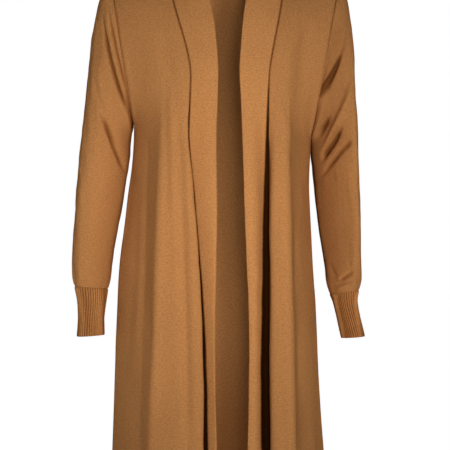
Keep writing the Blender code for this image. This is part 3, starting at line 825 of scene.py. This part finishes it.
def bandDirections(side, frontOut, bandOut):
    # shared outward directions along the seam of a front and its band
    turn = rollShape[side]["seamTurn"]
    deep = np.array((inwardWay[side] * turn[0], turn[1], 0))
    shared = []
    for (low, top), n, m in zip(bodyRowShares, frontOut, bandOut):
        fold = float(edgeAt("fold", rowHeight("frontZ", low, top)))
        met = unit(unit(n) + unit(m))
        plain = met * (1 - smoothStep(fold / 0.05)) + np.array((0, -1.0, 0)) * smoothStep(fold / 0.05)
        shared.append(unit(plain * (1 - fold) + deep * fold))
    return np.array(shared)


def joinBand(side, front, back, band, neckSpots):
    rows = len(bodyRowShares)
    seam = band["grid"][:, 0].copy()
    upFront = bandDirections(side, front["out"][:, -1], band["out"][:rows, 0])
    roundNeck = unit(back["out"][-1, neckSpots] + band["out"][rows - 1 :, 0])
    shoulderUp = unit(np.cross(sideNeck(side) - armholePoint(side, 1, -1), (0, 1, 0)) * -inwardWay[side])
    corner = unit(shoulderUp + roundNeck[0])
    out = np.concatenate([upFront[:-1], [corner], roundNeck[1:]])
    for _ in range(12):
        out[1:-1] = unit(out[:-2] + 2 * out[1:-1] + out[2:])
    out[-1] = unit(out[-1] * (0, 1, 1))
    step = unit(np.cross(np.gradient(seam, axis=0), out)) * inwardWay[side] * garment["halfGap"]
    front["grid"][:, -1] = seam[:rows] - step[:rows]
    front["out"][:, -1] = out[:rows]
    band["grid"][:, 0] = seam + step
    band["out"][:, 0] = out
    back["grid"][-1, neckSpots] = seam[rows - 1 :] - step[rows - 1 :]
    back["out"][-1, neckSpots] = out[rows - 1 :]
    return out[rows - 1]


def joinSide(side, front, back, column):
    gap = np.array((0, garment["halfGap"], 0))
    front["out"][:lowCount, 0] = (-inwardWay[side], 0, 0)
    back["out"][:lowCount, column] = (-inwardWay[side], 0, 0)
    front["grid"][:lowCount, 0] -= gap
    back["grid"][:lowCount, column] += gap
    step = towardsBody(side) * garment["halfGap"]
    for i, share in enumerate(topShares):
        row = lowCount + i
        front["out"][row, 0] = armholeOut(side, share, -1)
        front["grid"][row, 0] = armholePoint(side, share, -1) + step
        back["out"][row, column] = armholeOut(side, share, 1)
        back["grid"][row, column] = armholePoint(side, share, 1) + step


def joinShoulder(side, front, back, frontShares, backShares, spots, corner):
    gap = np.array((0, garment["halfGap"], 0))
    tipOut = armholeOut(side, 1, -1)
    t = frontShares[:, None]
    front["out"][-1] = tipOut * (1 - t) + corner * t
    front["grid"][-1] -= gap
    t = (backShares / garment["shoulderShare"])[:, None]
    back["out"][-1, spots] = tipOut * (1 - t) + corner * t
    back["grid"][-1, spots] += gap


def feather(out, columns, reach):
    # turns the directions next to a seam evenly into the seam's own
    for column in columns:
        step = 1 if column == 0 else -1
        for k in range(1, reach):
            share = smoothStep(1 - k / reach)
            spot = column + step * k
            out[:, spot] = unit(out[:, spot] * (1 - share) + out[:, column] * share)
    return out


def dress(piece, node):
    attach(piece, "root")
    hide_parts(node)


def finishPanel(panel, settings, middle):
    # the walls and cloth map of a front or the back, and the path of its hem stitches
    grid, out = panel["grid"], panel["out"]
    lengths, heights = rowLengths(grid), columnLengths(grid)
    edges = (lengths, lengths[:, -1:] - lengths, heights[-1:] - heights)
    far = math.prod(smoothStep(edge / reach) for edge, reach in zip(edges, garment["seamReach"]))
    relief = creaseRelief(grid[..., 0], grid[..., 2], settings["creases"])
    waves = unevenness(settings["seed"], lengths, grid[..., 2], *garment["panelWaves"])
    relief += settings["unevenness"] * waves
    face = grid + out * (relief * far + sum(map(seamDip, edges)) + hemRelief(heights))[..., None]
    hemRow = int(np.argmin(np.abs(heights[:, middle] - garment["hemTurn"])))
    seamPaths.append(face[hemRow] + out[hemRow] * garment["hemStitchLift"])
    wall = garment["cloth"] + 0.8 * smoothStep((garment["hemTurn"] - heights) / 3)
    along = np.repeat(heights[:, middle, None], grid.shape[1], axis=1)
    return wallAround(face, out, wall, heights), lengths, along


def makeBody():
    backU = crowdEnds(backPanel["columns"] // 2)
    neckStart = int(np.argmin(np.abs(backU - garment["shoulderShare"])))
    backU = np.concatenate([backU[:neckStart], [garment["shoulderShare"]], backU[neckStart + 1 :]])
    backU = np.concatenate([backU[: int(np.searchsorted(backU, 0.995))], [1.0]])
    grid, across = backGrid(backU, neckStart)
    half = len(backU) - 1
    out = -gridNormals(grid)
    grid = largeFolds(grid, out, across, backPanel["largeFolds"])
    grid = chestSoftening(grid)
    back = {"grid": grid, "out": -gridNormals(grid)}
    neckShares = (backU[neckStart + 1 :] - garment["shoulderShare"]) / (1 - garment["shoulderShare"])
    made = {}
    for side in sides:
        settings, way = frontPanels[side], inwardWay[side]
        u = crowdEnds(settings["columns"])
        grid = hangStraight(frontGrid(side, u), side, settings["ridge"])
        grid = largeFolds(grid, gridNormals(grid) * way, u, settings["largeFolds"])
        grid = chestSoftening(grid)
        front = {"grid": grid, "out": gridNormals(grid) * way}
        bandPoints = bandGrid(side, crowdEnds(bands["columns"]), neckShares)
        band = {"grid": bandPoints, "out": gridNormals(bandPoints) * way}
        spots = np.arange(half + 1)
        if side == "left":
            spots = 2 * half - spots
        corner = joinBand(side, front, back, band, spots[neckStart:])
        joinSide(side, front, back, spots[0])
        joinShoulder(side, front, back, u, backU[: neckStart + 1], spots[: neckStart + 1], corner)
        band["out"][-1] = unit(band["out"][-1] * (0, 1, 1))
        made[side] = (front, band)

    for side, (front, band) in made.items():
        grid, out = front["grid"], feather(front["out"], (0, front["grid"].shape[1] - 1), 7)
        stitched = grid - out * garment["stitchDepth"]
        seamPaths.extend((stitched[:, -1], stitched[:lowCount, 0], stitched[-1]))
        walls, lengths, alongFront = finishPanel(front, frontPanels[side], garment["mapColumn"])
        fromBand = lengths[:, -1:] - lengths
        piece = clothMesh(sided("front", side), walls, inwardWay[side], False, fromBand, alongFront,
                          panelKnit[side], paintedShadeBehindRoll(grid, side))
        dress(piece, "front_" + side)

        grid, out = band["grid"], feather(band["out"], (0,), 5)
        lengths, heights = rowLengths(grid), columnLengths(grid)
        alongBand = np.repeat(heights[:, 5:6], grid.shape[1], axis=1)
        ripple = unevenness(bands["seed"][side], lengths, alongBand, 40, bands["puckerPitch"], octaves=2)
        slow = unevenness(bands["seed"][side] + 5, lengths, alongBand, 60, 70, octaves=2)
        relief = bands["puckerHeight"] * ripple * smoothStep(lengths / 5)
        relief += 0.5 * slow * smoothStep(lengths / 9) + seamDip(lengths) + hemRelief(heights) * 0.6
        if side == "right":
            seamPaths.append(grid[-1] - out[-1] * garment["neckStitchDepth"])
        fromEdge = np.minimum(lengths[:, -1:] - lengths, heights)
        walls = wallAround(grid + out * relief[..., None], out, bands["thickness"], fromEdge, 1.6)
        piece = clothMesh(sided("band", side), walls, inwardWay[side], False, lengths, alongBand, bandKnit,
                          paintedShadeBesideRoll(grid, front["grid"], side))
        dress(piece, "band_" + side)

    grid = back["grid"]
    feather(back["out"], (0, grid.shape[1] - 1), 7)
    walls, lengths, alongBack = finishPanel(back, backPanel, half)
    # painted shade on the inside of the back, darker towards the hem
    innerPaintedShade = garment["innerPaintedShade"] * smoothStep(1 - columnLengths(grid) / garment["innerPaintedShadeTo"])
    fromCentre = lengths - lengths[:, half : half + 1]
    piece = clothMesh("backPanel", walls, -1, False, fromCentre, alongBack, backKnit, paintedShadeInside=innerPaintedShade)
    dress(piece, "back")


makeBody()
print("body panels and bands made")

# Sleeves and cuffs
ringNames = ("step", "outerX", "outerZ", "innerX", "innerZ", "halfDepth", "centreY", "lean")
sleeves = {
    "columns": 128,
    "rows": 214,
    "crowd": 0.4,
    "unevenness": 0.9,
    "waves": (70, 120),
    "halfGirth": 60,
    "right": {
        "seed": 31,
        "underArmPaintedShade": 0.35,
        "rings": (
            (-192, -34, -154.7, -279, 60, 0, 0),
            (-208, -50, -155.2, -282, 58, 0, 0),
            (-218, -85, -156.0, -285, 56, 0, 1),
            (-226, -128, -157.0, -289, 53, 0, 4),
            (-231, -175, -158.2, -294, 50, 1, 7),
            (-236, -228, -159.4, -301, 47, 2, 10),
            (-241, -272, -160.6, -311, 46, 3, 12),
            (-246, -318, -162, -334, 45, 4, 13),
            (-250, -364, -168, -373, 43, 4, 14),
            (-254, -412, -176, -420, 41, 2, 14),
            (-257, -460, -184, -467, 38, -2, 13),
            (-258.5, -502, -191, -509, 35, -8, 12),
            (-258.5, -531, -194, -537, 33, -12, 10),
            (-254.5, -550, -198.5, -555, 28, -16, 8),
        ),
        "creases": (
            (-210, -80, -190, -185, -153, -278, 3.8, -6.0, -1.8),
            (-200, -70, -180, -165, -154, -262, 3.2, -4.2, 1.2),
            (-226, -180, -204, -262, -168, -336, 4.5, -2.6, -0.8),
            (-218, -240, -190, -309, -164, -370, 4.2, -5.0, -1.6),
            (-226, -150, -214, -230, -205, -330, 9, 1.8, 0.8),
            (-250, -538, -232, -544, -208, -540, 4, -1.8, 0.6),
            (-254, -522, -236, -532, -212, -530, 4.5, 1.2, 0.4),
        ),
        "backCreases": (
            (-214, -130, -188, -200, -156, -285, 7, -2.6, -1.4),
            (-212, -270, -190, -315, -170, -370, 7, -1.4, 0.7),
            (-238, -420, -215, -440, -186, -450, 8, -1.4, 0.6),
        ),
    },
    "left": {
        "seed": 32,
        "underArmPaintedShade": 0.7,
        "rings": (
            (192, -40, 146.2, -299, 60, 0, 0),
            (206, -62, 146, -301, 55, 0, 12),
            (212, -100, 145.9, -305, 49, 0, 28),
            (216.5, -144, 146, -310, 43, 0, 36),
            (219, -188, 146.2, -316, 38, 1, 41),
            (221, -236, 146.5, -323, 34.5, 2, 43),
            (224, -282, 147, -334, 32.5, 3, 43),
            (225.5, -330, 149.5, -352, 31.8, 4, 41),
            (226.5, -374, 153, -389, 30.1, 4, 41),
            (228.5, -420, 158, -431, 29.2, 2, 40),
            (229.5, -466, 163, -475, 28.4, -2, 36),
            (230, -506, 169, -513, 29, -8, 28),
            (231, -537, 172, -543, 29.6, -12, 16.9),
            (226.5, -557, 177.5, -563, 27, -16, 11),
        ),
        "creases": (
            (200, -60, 178, -170, 154, -268, 16, -3.0, 0.0),
            (212, -96, 194, -168, 162, -232, 3.2, -1.4, 1.4),
            (198, -150, 177, -207, 149, -254, 4.0, -5.6, 2.0),
            (214, -195, 199, -252, 160, -326, 6, 6.0, 1.4),
            (178, -258, 164, -285, 150, -306, 4.5, -6.0, 0.0),
            (198, -274, 178, -314, 148, -352, 5, -8.0, 1.4),
            (218, -306, 196, -324, 158, -374, 5, -4.5, 2.2),
            (155, -384, 163, -372, 171, -362, 4, 2.0, 0.0),
            (176, -512, 184, -526, 192, -542, 4, -2.0, 1.0),
            (190, -540, 203, -532, 220, -522, 4, -4.0, 1.8),
            (188, -552, 204, -548, 224, -540, 4, 2.6, -1.4),
        ),
        "backCreases": (
            (202, -150, 180, -215, 150, -290, 7, -2.4, 1.2),
            (222, -300, 195, -330, 158, -372, 7, -1.8, 1.0),
            (226, -430, 205, -450, 166, -462, 8, -1.4, 0.6),
        ),
    },
}
cuffs = {
    "ribs": 40,
    "ribHeight": 0.0021,
    "columnsPerRib": 8,
    "rows": 40,
    "thickness": 1.7,
    "right": (
        (-254.5, -550, -198.5, -555, 28, -16, 8),
        (-249.5, -575, -202, -578, 27, -18, 7),
        (-248, -601, -205, -602, 27, -20, 6),
        (-248.5, -617, -205, -616, 28, -22, 6),
        (-249.8, -635.5, -204.5, -633, 30, -24, 6),
    ),
    "left": (
        (226.5, -557, 177.5, -563, 27, -16, 11),
        (223.5, -574, 183.5, -578, 26, -18, 9),
        (227, -598, 189, -600, 26, -20, 8),
        (231.5, -617, 193, -619, 27, -22, 7),
        (235.7, -635, 197.5, -638.5, 29, -24, 7),
    ),
}


def tubeGrid(rings, steps, columns, crowd=0.0):
    # Rings of a sleeve or cuff; each starts near its inner point and runs by the front, where crowd
    # puts more of the columns.
    table = [ringNames] + [(i, *row) for i, row in enumerate(rings)]
    values = {name: readColumn(table, name, steps) for name in ringNames[1:]}
    turn = np.linspace(0, 2 * math.pi, columns, endpoint=False)[None, :]
    angle = turn + crowd * np.cos(turn)
    grid = []
    for axis, (a, b) in enumerate((("outerX", "innerX"), ("centreY", "centreY"), ("outerZ", "innerZ"))):
        middle, reach = (values[a] + values[b]) / 2, (values[a] - values[b]) / 2
        line = middle[:, None] - reach[:, None] * np.cos(angle)
        if axis == 1:
            line = (middle[:, None] - values["halfDepth"][:, None] * np.sin(angle)
                    + values["lean"][:, None] * np.cos(angle))
        grid.append(line)
    return np.stack(grid, axis=2), angle


def outwardSign(grid):
    away = grid - grid.mean(axis=1, keepdims=True)
    return int(np.sign((away * gridNormals(grid, ring=True)).sum()))


def frontFacing(grid):
    middle = grid.mean(axis=1, keepdims=True)
    away = unit(grid - middle)[..., 1]
    return smoothStep((0.35 - away) / 0.5), smoothStep((away + 0.15) / 0.5)


def closedRings(grid):
    return np.concatenate([grid, grid[:, :1]], axis=1)


def tubePiece(name, grid, out, sign, relief, thickness, fromEdge, material, sway=0.0, deep=0.0):
    # a sleeve or cuff and the size of its cut; sway shifts the cloth map by a share of the girth
    around = rowLengths(closedRings(grid))
    around = around / around[:, -1:] * around[:, -1].mean()
    heights = columnLengths(grid)
    along = np.repeat(heights.mean(axis=1, keepdims=True), around.shape[1], axis=1)
    walls = wallAround(grid + out * relief[..., None], out, thickness, fromEdge, 1.0)
    piece = clothMesh(name, walls, sign, True, around + sway * around[0, -1], along, material, deep)
    return piece, (float(around[0, -1]) * mm, float(heights[-1].max()) * mm)


def makeSleeve(side):
    settings = sleeves[side]
    last = len(settings["rings"]) - 1
    middle = np.linspace(0.55, last - 0.35, sleeves["rows"])
    steps = np.concatenate([np.array((0, 0.04, 0.09, 0.16, 0.26, 0.4)), middle,
                            last - np.array((0.27, 0.2, 0.14, 0.09, 0.05, 0.02, 0))])
    grid, angle = tubeGrid(settings["rings"], steps, sleeves["columns"], sleeves["crowd"])
    sign = outwardSign(grid)
    out = gridNormals(grid, ring=True) * sign
    inFront = angle[0] <= math.pi
    share = np.where(inFront, angle[0], 2 * math.pi - angle[0]) / math.pi  # 0 below, 1 on the shoulder
    for j, half in enumerate(np.where(inFront, -1, 1)):
        grid[0, j] = armholePoint(side, share[j], half) - towardsBody(side) * garment["halfGap"]
        out[0, j] = armholeOut(side, share[j], half)
    for k in range(1, 6):
        turn = smoothStep(1 - k / 6)
        out[k] = unit(out[k] * (1 - turn) + out[0] * turn)
    x, z = grid[..., 0], grid[..., 2]
    front, behind = frontFacing(grid)
    heights = columnLengths(grid)
    fromCuff = heights[-1:] - heights
    relief = creaseRelief(x, z, settings["creases"]) * front * smoothStep((1 - share) / 0.16)
    # painted shade round the armpit, along the sleeve's inner side that faces the body, and in the deepest
    # creases
    low = 1 - smoothStep(share / 0.6)
    underArmPaintedShade = settings["underArmPaintedShade"] * (1 - smoothStep(share / 0.22)) * smoothStep(fromCuff / 60)
    armpit = garment["armpitPaintedShade"] * low * (1 - smoothStep(heights / (3 + 24 * low)))
    deep = np.maximum(np.maximum(paintedCreaseShade(relief), armpit), underArmPaintedShade)
    relief += creaseRelief(x, z, settings["backCreases"]) * behind
    across = (np.cos(angle) + np.sin(angle)) * sleeves["halfGirth"]
    relief += sleeves["unevenness"] * unevenness(settings["seed"], across, z, *sleeves["waves"])
    relief += 0.7 * np.sin(angle * 13 + 0.8 * np.sin(angle * 3 + settings["seed"])) * np.exp(-fromCuff / 16)
    relief = relief * smoothStep(heights / 12) * smoothStep(fromCuff / 5)
    relief += seamDip(heights) + 0.25 * seamDip(fromCuff)
    stitched = closedRings(grid - out * garment["stitchDepth"])
    seamPaths.extend((stitched[0], stitched[-1]))
    piece, size = tubePiece(sided("sleeve", side), grid, out, sign, relief, garment["cloth"], math.inf,
                            sleeveKnit[side], deep=deep)
    dress(piece, "sleeve_" + side)


def finishTree(tree, made, material, result):
    realize = addNode(tree, "GeometryNodeRealizeInstances", {0: made})
    paint = addNode(tree, "GeometryNodeSetMaterial", {"Geometry": realize.outputs[0], "Material": material})
    tree.links.new(paint.outputs[0], result[0])
    return tree


def ribTree():
    # Moves the outer side of a cuff out and in, a set number of ribs round it.
    tree, given, result = newTree("cuffRibs", "GeometryNodeTree", {
        "Cuff": ("Geometry",), "Ribs": ("Int", 40), "Rib Height": ("Float", 0.001), "Material": ("Material",),
    }, {"Cuff": ("Geometry",)})

    work = partial(calc, tree)

    def pointValues(name, kind="FLOAT"):
        values = addNode(tree, "GeometryNodeInputNamedAttribute", {"Name": name}, data_type=kind)
        return values.outputs["Attribute"]

    turns = work("MULTIPLY", work("MULTIPLY", pointValues("around"), given["Ribs"]), math.pi)
    ridge = work("POWER", work("ABSOLUTE", work("SINE", turns)), 0.75)
    lift = work("MULTIPLY", work("SUBTRACT", ridge, 0.55), given["Rib Height"])
    lift = work("MULTIPLY", lift, pointValues("ribStrength"))
    outWay = pointValues("outWay", "FLOAT_VECTOR")
    offset = addNode(tree, "ShaderNodeVectorMath", {0: outWay, "Scale": lift}, operation="SCALE")
    move = addNode(tree, "GeometryNodeSetPosition", {"Geometry": given["Cuff"], "Offset": offset.outputs[0]})
    return finishTree(tree, move.outputs[0], given["Material"], result)


def runTree(piece, tree, values):
    # gives the tree its values, then keeps the result as a plain mesh
    modifier = piece.modifiers.new("maker", "NODES")
    modifier.node_group = tree
    for socket in tree.interface.items_tree:
        if socket.name in values:
            modifier[socket.identifier] = values[socket.name]
    bpy.context.view_layer.update()
    graph = bpy.context.evaluated_depsgraph_get()
    mesh = bpy.data.meshes.new_from_object(piece.evaluated_get(graph), preserve_all_data_layers=True,
                                           depsgraph=graph)
    name = piece.name
    piece.modifiers.remove(modifier)
    bpy.data.objects.remove(piece, do_unlink=True)
    mesh.name = name
    return inScene(name, mesh)


cuffRibs = ribTree()


def makeCuff(side):
    columns = cuffs["ribs"] * cuffs["columnsPerRib"]
    last = len(cuffs[side]) - 1
    steps = np.concatenate([np.array((0, 0.02, 0.05, 0.09)), np.linspace(0.14, last - 0.1, cuffs["rows"]),
                            last - np.array((0.07, 0.045, 0.025, 0.01, 0))])
    grid, angle = tubeGrid(cuffs[side], steps, columns)
    sign = outwardSign(grid)
    out = gridNormals(grid, ring=True) * sign
    heights = columnLengths(grid)
    fromEnd = heights[-1:] - heights
    sway = 0.12 / cuffs["ribs"] * np.sin(heights.mean(axis=1, keepdims=True) / 14)
    piece, size = tubePiece(sided("cuff", side), grid, out, sign, 0.25 * seamDip(heights), cuffs["thickness"],
                            fromEnd, cuffKnit[side], sway=sway)
    strength = smoothStep(heights / 5) * (0.75 + 0.25 * smoothStep(fromEnd / 3))
    addPointValues(piece.data, "around", np.stack([np.arange(columns) / columns + sway] * 2))
    addPointValues(piece.data, "ribStrength", np.stack([strength, np.full(strength.shape, -0.35)]))
    addPointValues(piece.data, "outWay", np.stack([out, out]), "FLOAT_VECTOR")
    piece = runTree(piece, cuffRibs, {"Ribs": cuffs["ribs"], "Rib Height": cuffs["ribHeight"],
                                      "Material": cuffKnit[side]})
    dress(piece, "cuff_" + side)


for side in sides:
    makeSleeve(side)
    makeCuff(side)
print("sleeves and cuffs made")

# Linking stitches, laid along the seams
stitching = {"pitch": 0.0031, "length": 0.0022, "thickness": 0.00045, "seed": 5}


def stitchTree():
    tree, given, result = newTree("linkingStitches", "GeometryNodeTree", {
        "Seams": ("Geometry",), "Pitch": ("Float", 0.003), "Stitch Length": ("Float", 0.002),
        "Thread": ("Float", 0.0004), "Seed": ("Int", 1), "Material": ("Material",),
    }, {"Stitches": ("Geometry",)})
    curve = addNode(tree, "GeometryNodeMeshToCurve", {"Mesh": given["Seams"]}).outputs["Curve"]
    spacing = {"Curve": curve, "Length": given["Pitch"]}
    spaced = addNode(tree, "GeometryNodeResampleCurve", spacing, mode="LENGTH")
    tangent = addNode(tree, "GeometryNodeInputTangent").outputs[0]
    turned = addNode(tree, "FunctionNodeAlignRotationToVector", {"Vector": tangent}, axis="X")
    bead = addNode(tree, "GeometryNodeMeshUVSphere", {"Segments": 6, "Rings": 4, "Radius": 0.5}).outputs[0]
    size = addNode(tree, "ShaderNodeCombineXYZ", {"X": given["Stitch Length"], "Y": given["Thread"],
                                                  "Z": given["Thread"]}).outputs[0]
    shape = addNode(tree, "GeometryNodeTransform", {"Geometry": bead, "Scale": size}).outputs["Geometry"]
    scales = {2: 0.85, 3: 1.1, "Seed": given["Seed"]}
    uneven = addNode(tree, "FunctionNodeRandomValue", scales, data_type="FLOAT")
    place = addNode(tree, "GeometryNodeInstanceOnPoints", {
        "Points": spaced.outputs["Curve"], "Instance": shape, "Rotation": turned.outputs["Rotation"],
        "Scale": uneven.outputs[1]})
    return finishTree(tree, place.outputs["Instances"], given["Material"], result)


def cloudedMaterial(name, scale, tones, roughness):
    # a soft cloud between two tones
    material, tree, shader = newMaterial(name)
    place = addNode(tree, "ShaderNodeTexCoord").outputs["Object"]
    cloud = addNode(tree, "ShaderNodeTexNoise", {"Scale": scale, "Vector": place}).outputs["Fac"]
    tree.links.new(blend(tree, cloud, *tones), shader["Base Color"])
    shader["Roughness"].default_value = roughness
    return material, tree, shader, place


def makeStitches():
    ends = np.cumsum([len(path) for path in seamPaths])
    edges = [(i, i + 1) for path, end in zip(seamPaths, ends) for i in range(end - len(path), end - 1)]
    mesh = bpy.data.meshes.new("seamStitches")
    mesh.from_pydata((np.concatenate(seamPaths) * mm).tolist(), edges, [])
    thread = cloudedMaterial("seamThread", 900, (shade(knit["dark"], 0.9), shade(knit["light"], 0.8)), 0.8)[0]
    stitches = runTree(inScene("seamStitches", mesh), stitchTree(), {
        "Pitch": stitching["pitch"], "Stitch Length": stitching["length"], "Thread": stitching["thickness"],
        "Seed": stitching["seed"], "Material": thread})
    stitches.data.shade_smooth()
    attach(stitches, "root")


makeStitches()
print("stitches made")

# Floor, light and camera
studio = {
    "floorHeight": -1.35,
    "floorReach": 30,
    "floorTones": (shade((0.93, 0.93, 0.93)), shade((0.96, 0.96, 0.96))),
    "floorGlow": {"From Min": 3.0, "From Max": 6.5, "To Min": 0.14, "To Max": 0.97},
    "camera": (0, -5, -0.4471),
    "viewWidth": 0.765,
    "backdrop": 1.0,
    "ambient": 0.04,
    # place, power, size, height aimed at, and a spot's cone
    "lights": {
        "keyLight": ((1.3, -5.2, -0.7), 660, 0.5, -0.44, 0.285),
        "middleLight": ((0.35, -5.4, -0.65), 550, 0.5, -0.44, 0.285),
        "fillLight": ((-0.7, -5.3, -0.6), 170, 0.5, -0.44, 0.285),
        "rearLight": ((0.9, 4.6, 0.7), 110, 1.8, -0.42, 0),
        "topLight": ((0.1, 0.6, 2.2), 4, 1.6, -0.42, 0),
    },
}


def makeFloor():
    reach, z = studio["floorReach"], studio["floorHeight"]
    mesh = bpy.data.meshes.new("studioFloor")
    corners = [(-reach, -reach, z), (reach, -reach, z), (reach, reach, z), (-reach, reach, z)]
    mesh.from_pydata(corners, [], [(0, 1, 2, 3)])
    material, tree, shader, place = cloudedMaterial("paleFloor", 3, studio["floorTones"], 0.9)
    # painted light: the floor glows, greyer round the garment and white further off, as in a studio with a
    # lit background
    away = addNode(tree, "ShaderNodeVectorMath", {0: place}, operation="LENGTH").outputs["Value"]
    edges = {"Value": away, **studio["floorGlow"]}
    glow = addNode(tree, "ShaderNodeMapRange", edges, interpolation_type="SMOOTHSTEP")
    tree.links.new(glow.outputs["Result"], shader["Emission Strength"])
    shader["Emission Color"].default_value = (1, 1, 1, 1)
    mesh.materials.append(material)
    inScene("studioFloor", mesh)


def softLight(name, place, power, size, aimHeight, cone):
    lamp = bpy.data.lights.new(name, "SPOT" if cone else "AREA")
    if cone:
        lamp.shadow_soft_size = size
        lamp.spot_size = cone
        lamp.spot_blend = 1.0
    else:
        lamp.shape = "DISK"
        lamp.size = size
    lamp.energy = power
    light = inScene(name, lamp)
    light.location = place
    x, y, z = place
    tilt = math.atan2(aimHeight - z, math.hypot(x, y))
    light.rotation_euler = (math.pi / 2 + tilt, 0, math.atan2(-y, -x) - math.pi / 2)


def makeStudio():
    makeFloor()
    for name, settings in studio["lights"].items():
        softLight(name, *settings)
    world = bpy.data.worlds.new("paleStudio")
    world.use_nodes = True
    tree = world.node_tree
    sky = tree.nodes["Background"].inputs
    sky["Color"].default_value = (1, 1, 1, 1)
    # white behind the garment, softer as light
    seen = addNode(tree, "ShaderNodeLightPath").outputs["Is Camera Ray"]
    level = calc(tree, "MULTIPLY_ADD", seen, studio["backdrop"] - studio["ambient"], studio["ambient"])
    tree.links.new(level, sky["Strength"])
    scene = bpy.context.scene
    scene.world = world
    scene.view_settings.view_transform = "Standard"
    lens = bpy.data.cameras.new("photoView")
    lens.sensor_fit = "HORIZONTAL"
    lens.sensor_width = 36
    lens.lens = 36 * -studio["camera"][1] / studio["viewWidth"]
    scene.camera = inScene("photoView", lens)
    scene.camera.location = studio["camera"]
    scene.camera.rotation_euler = (math.pi / 2, 0, 0)


makeStudio()
print("studio made")
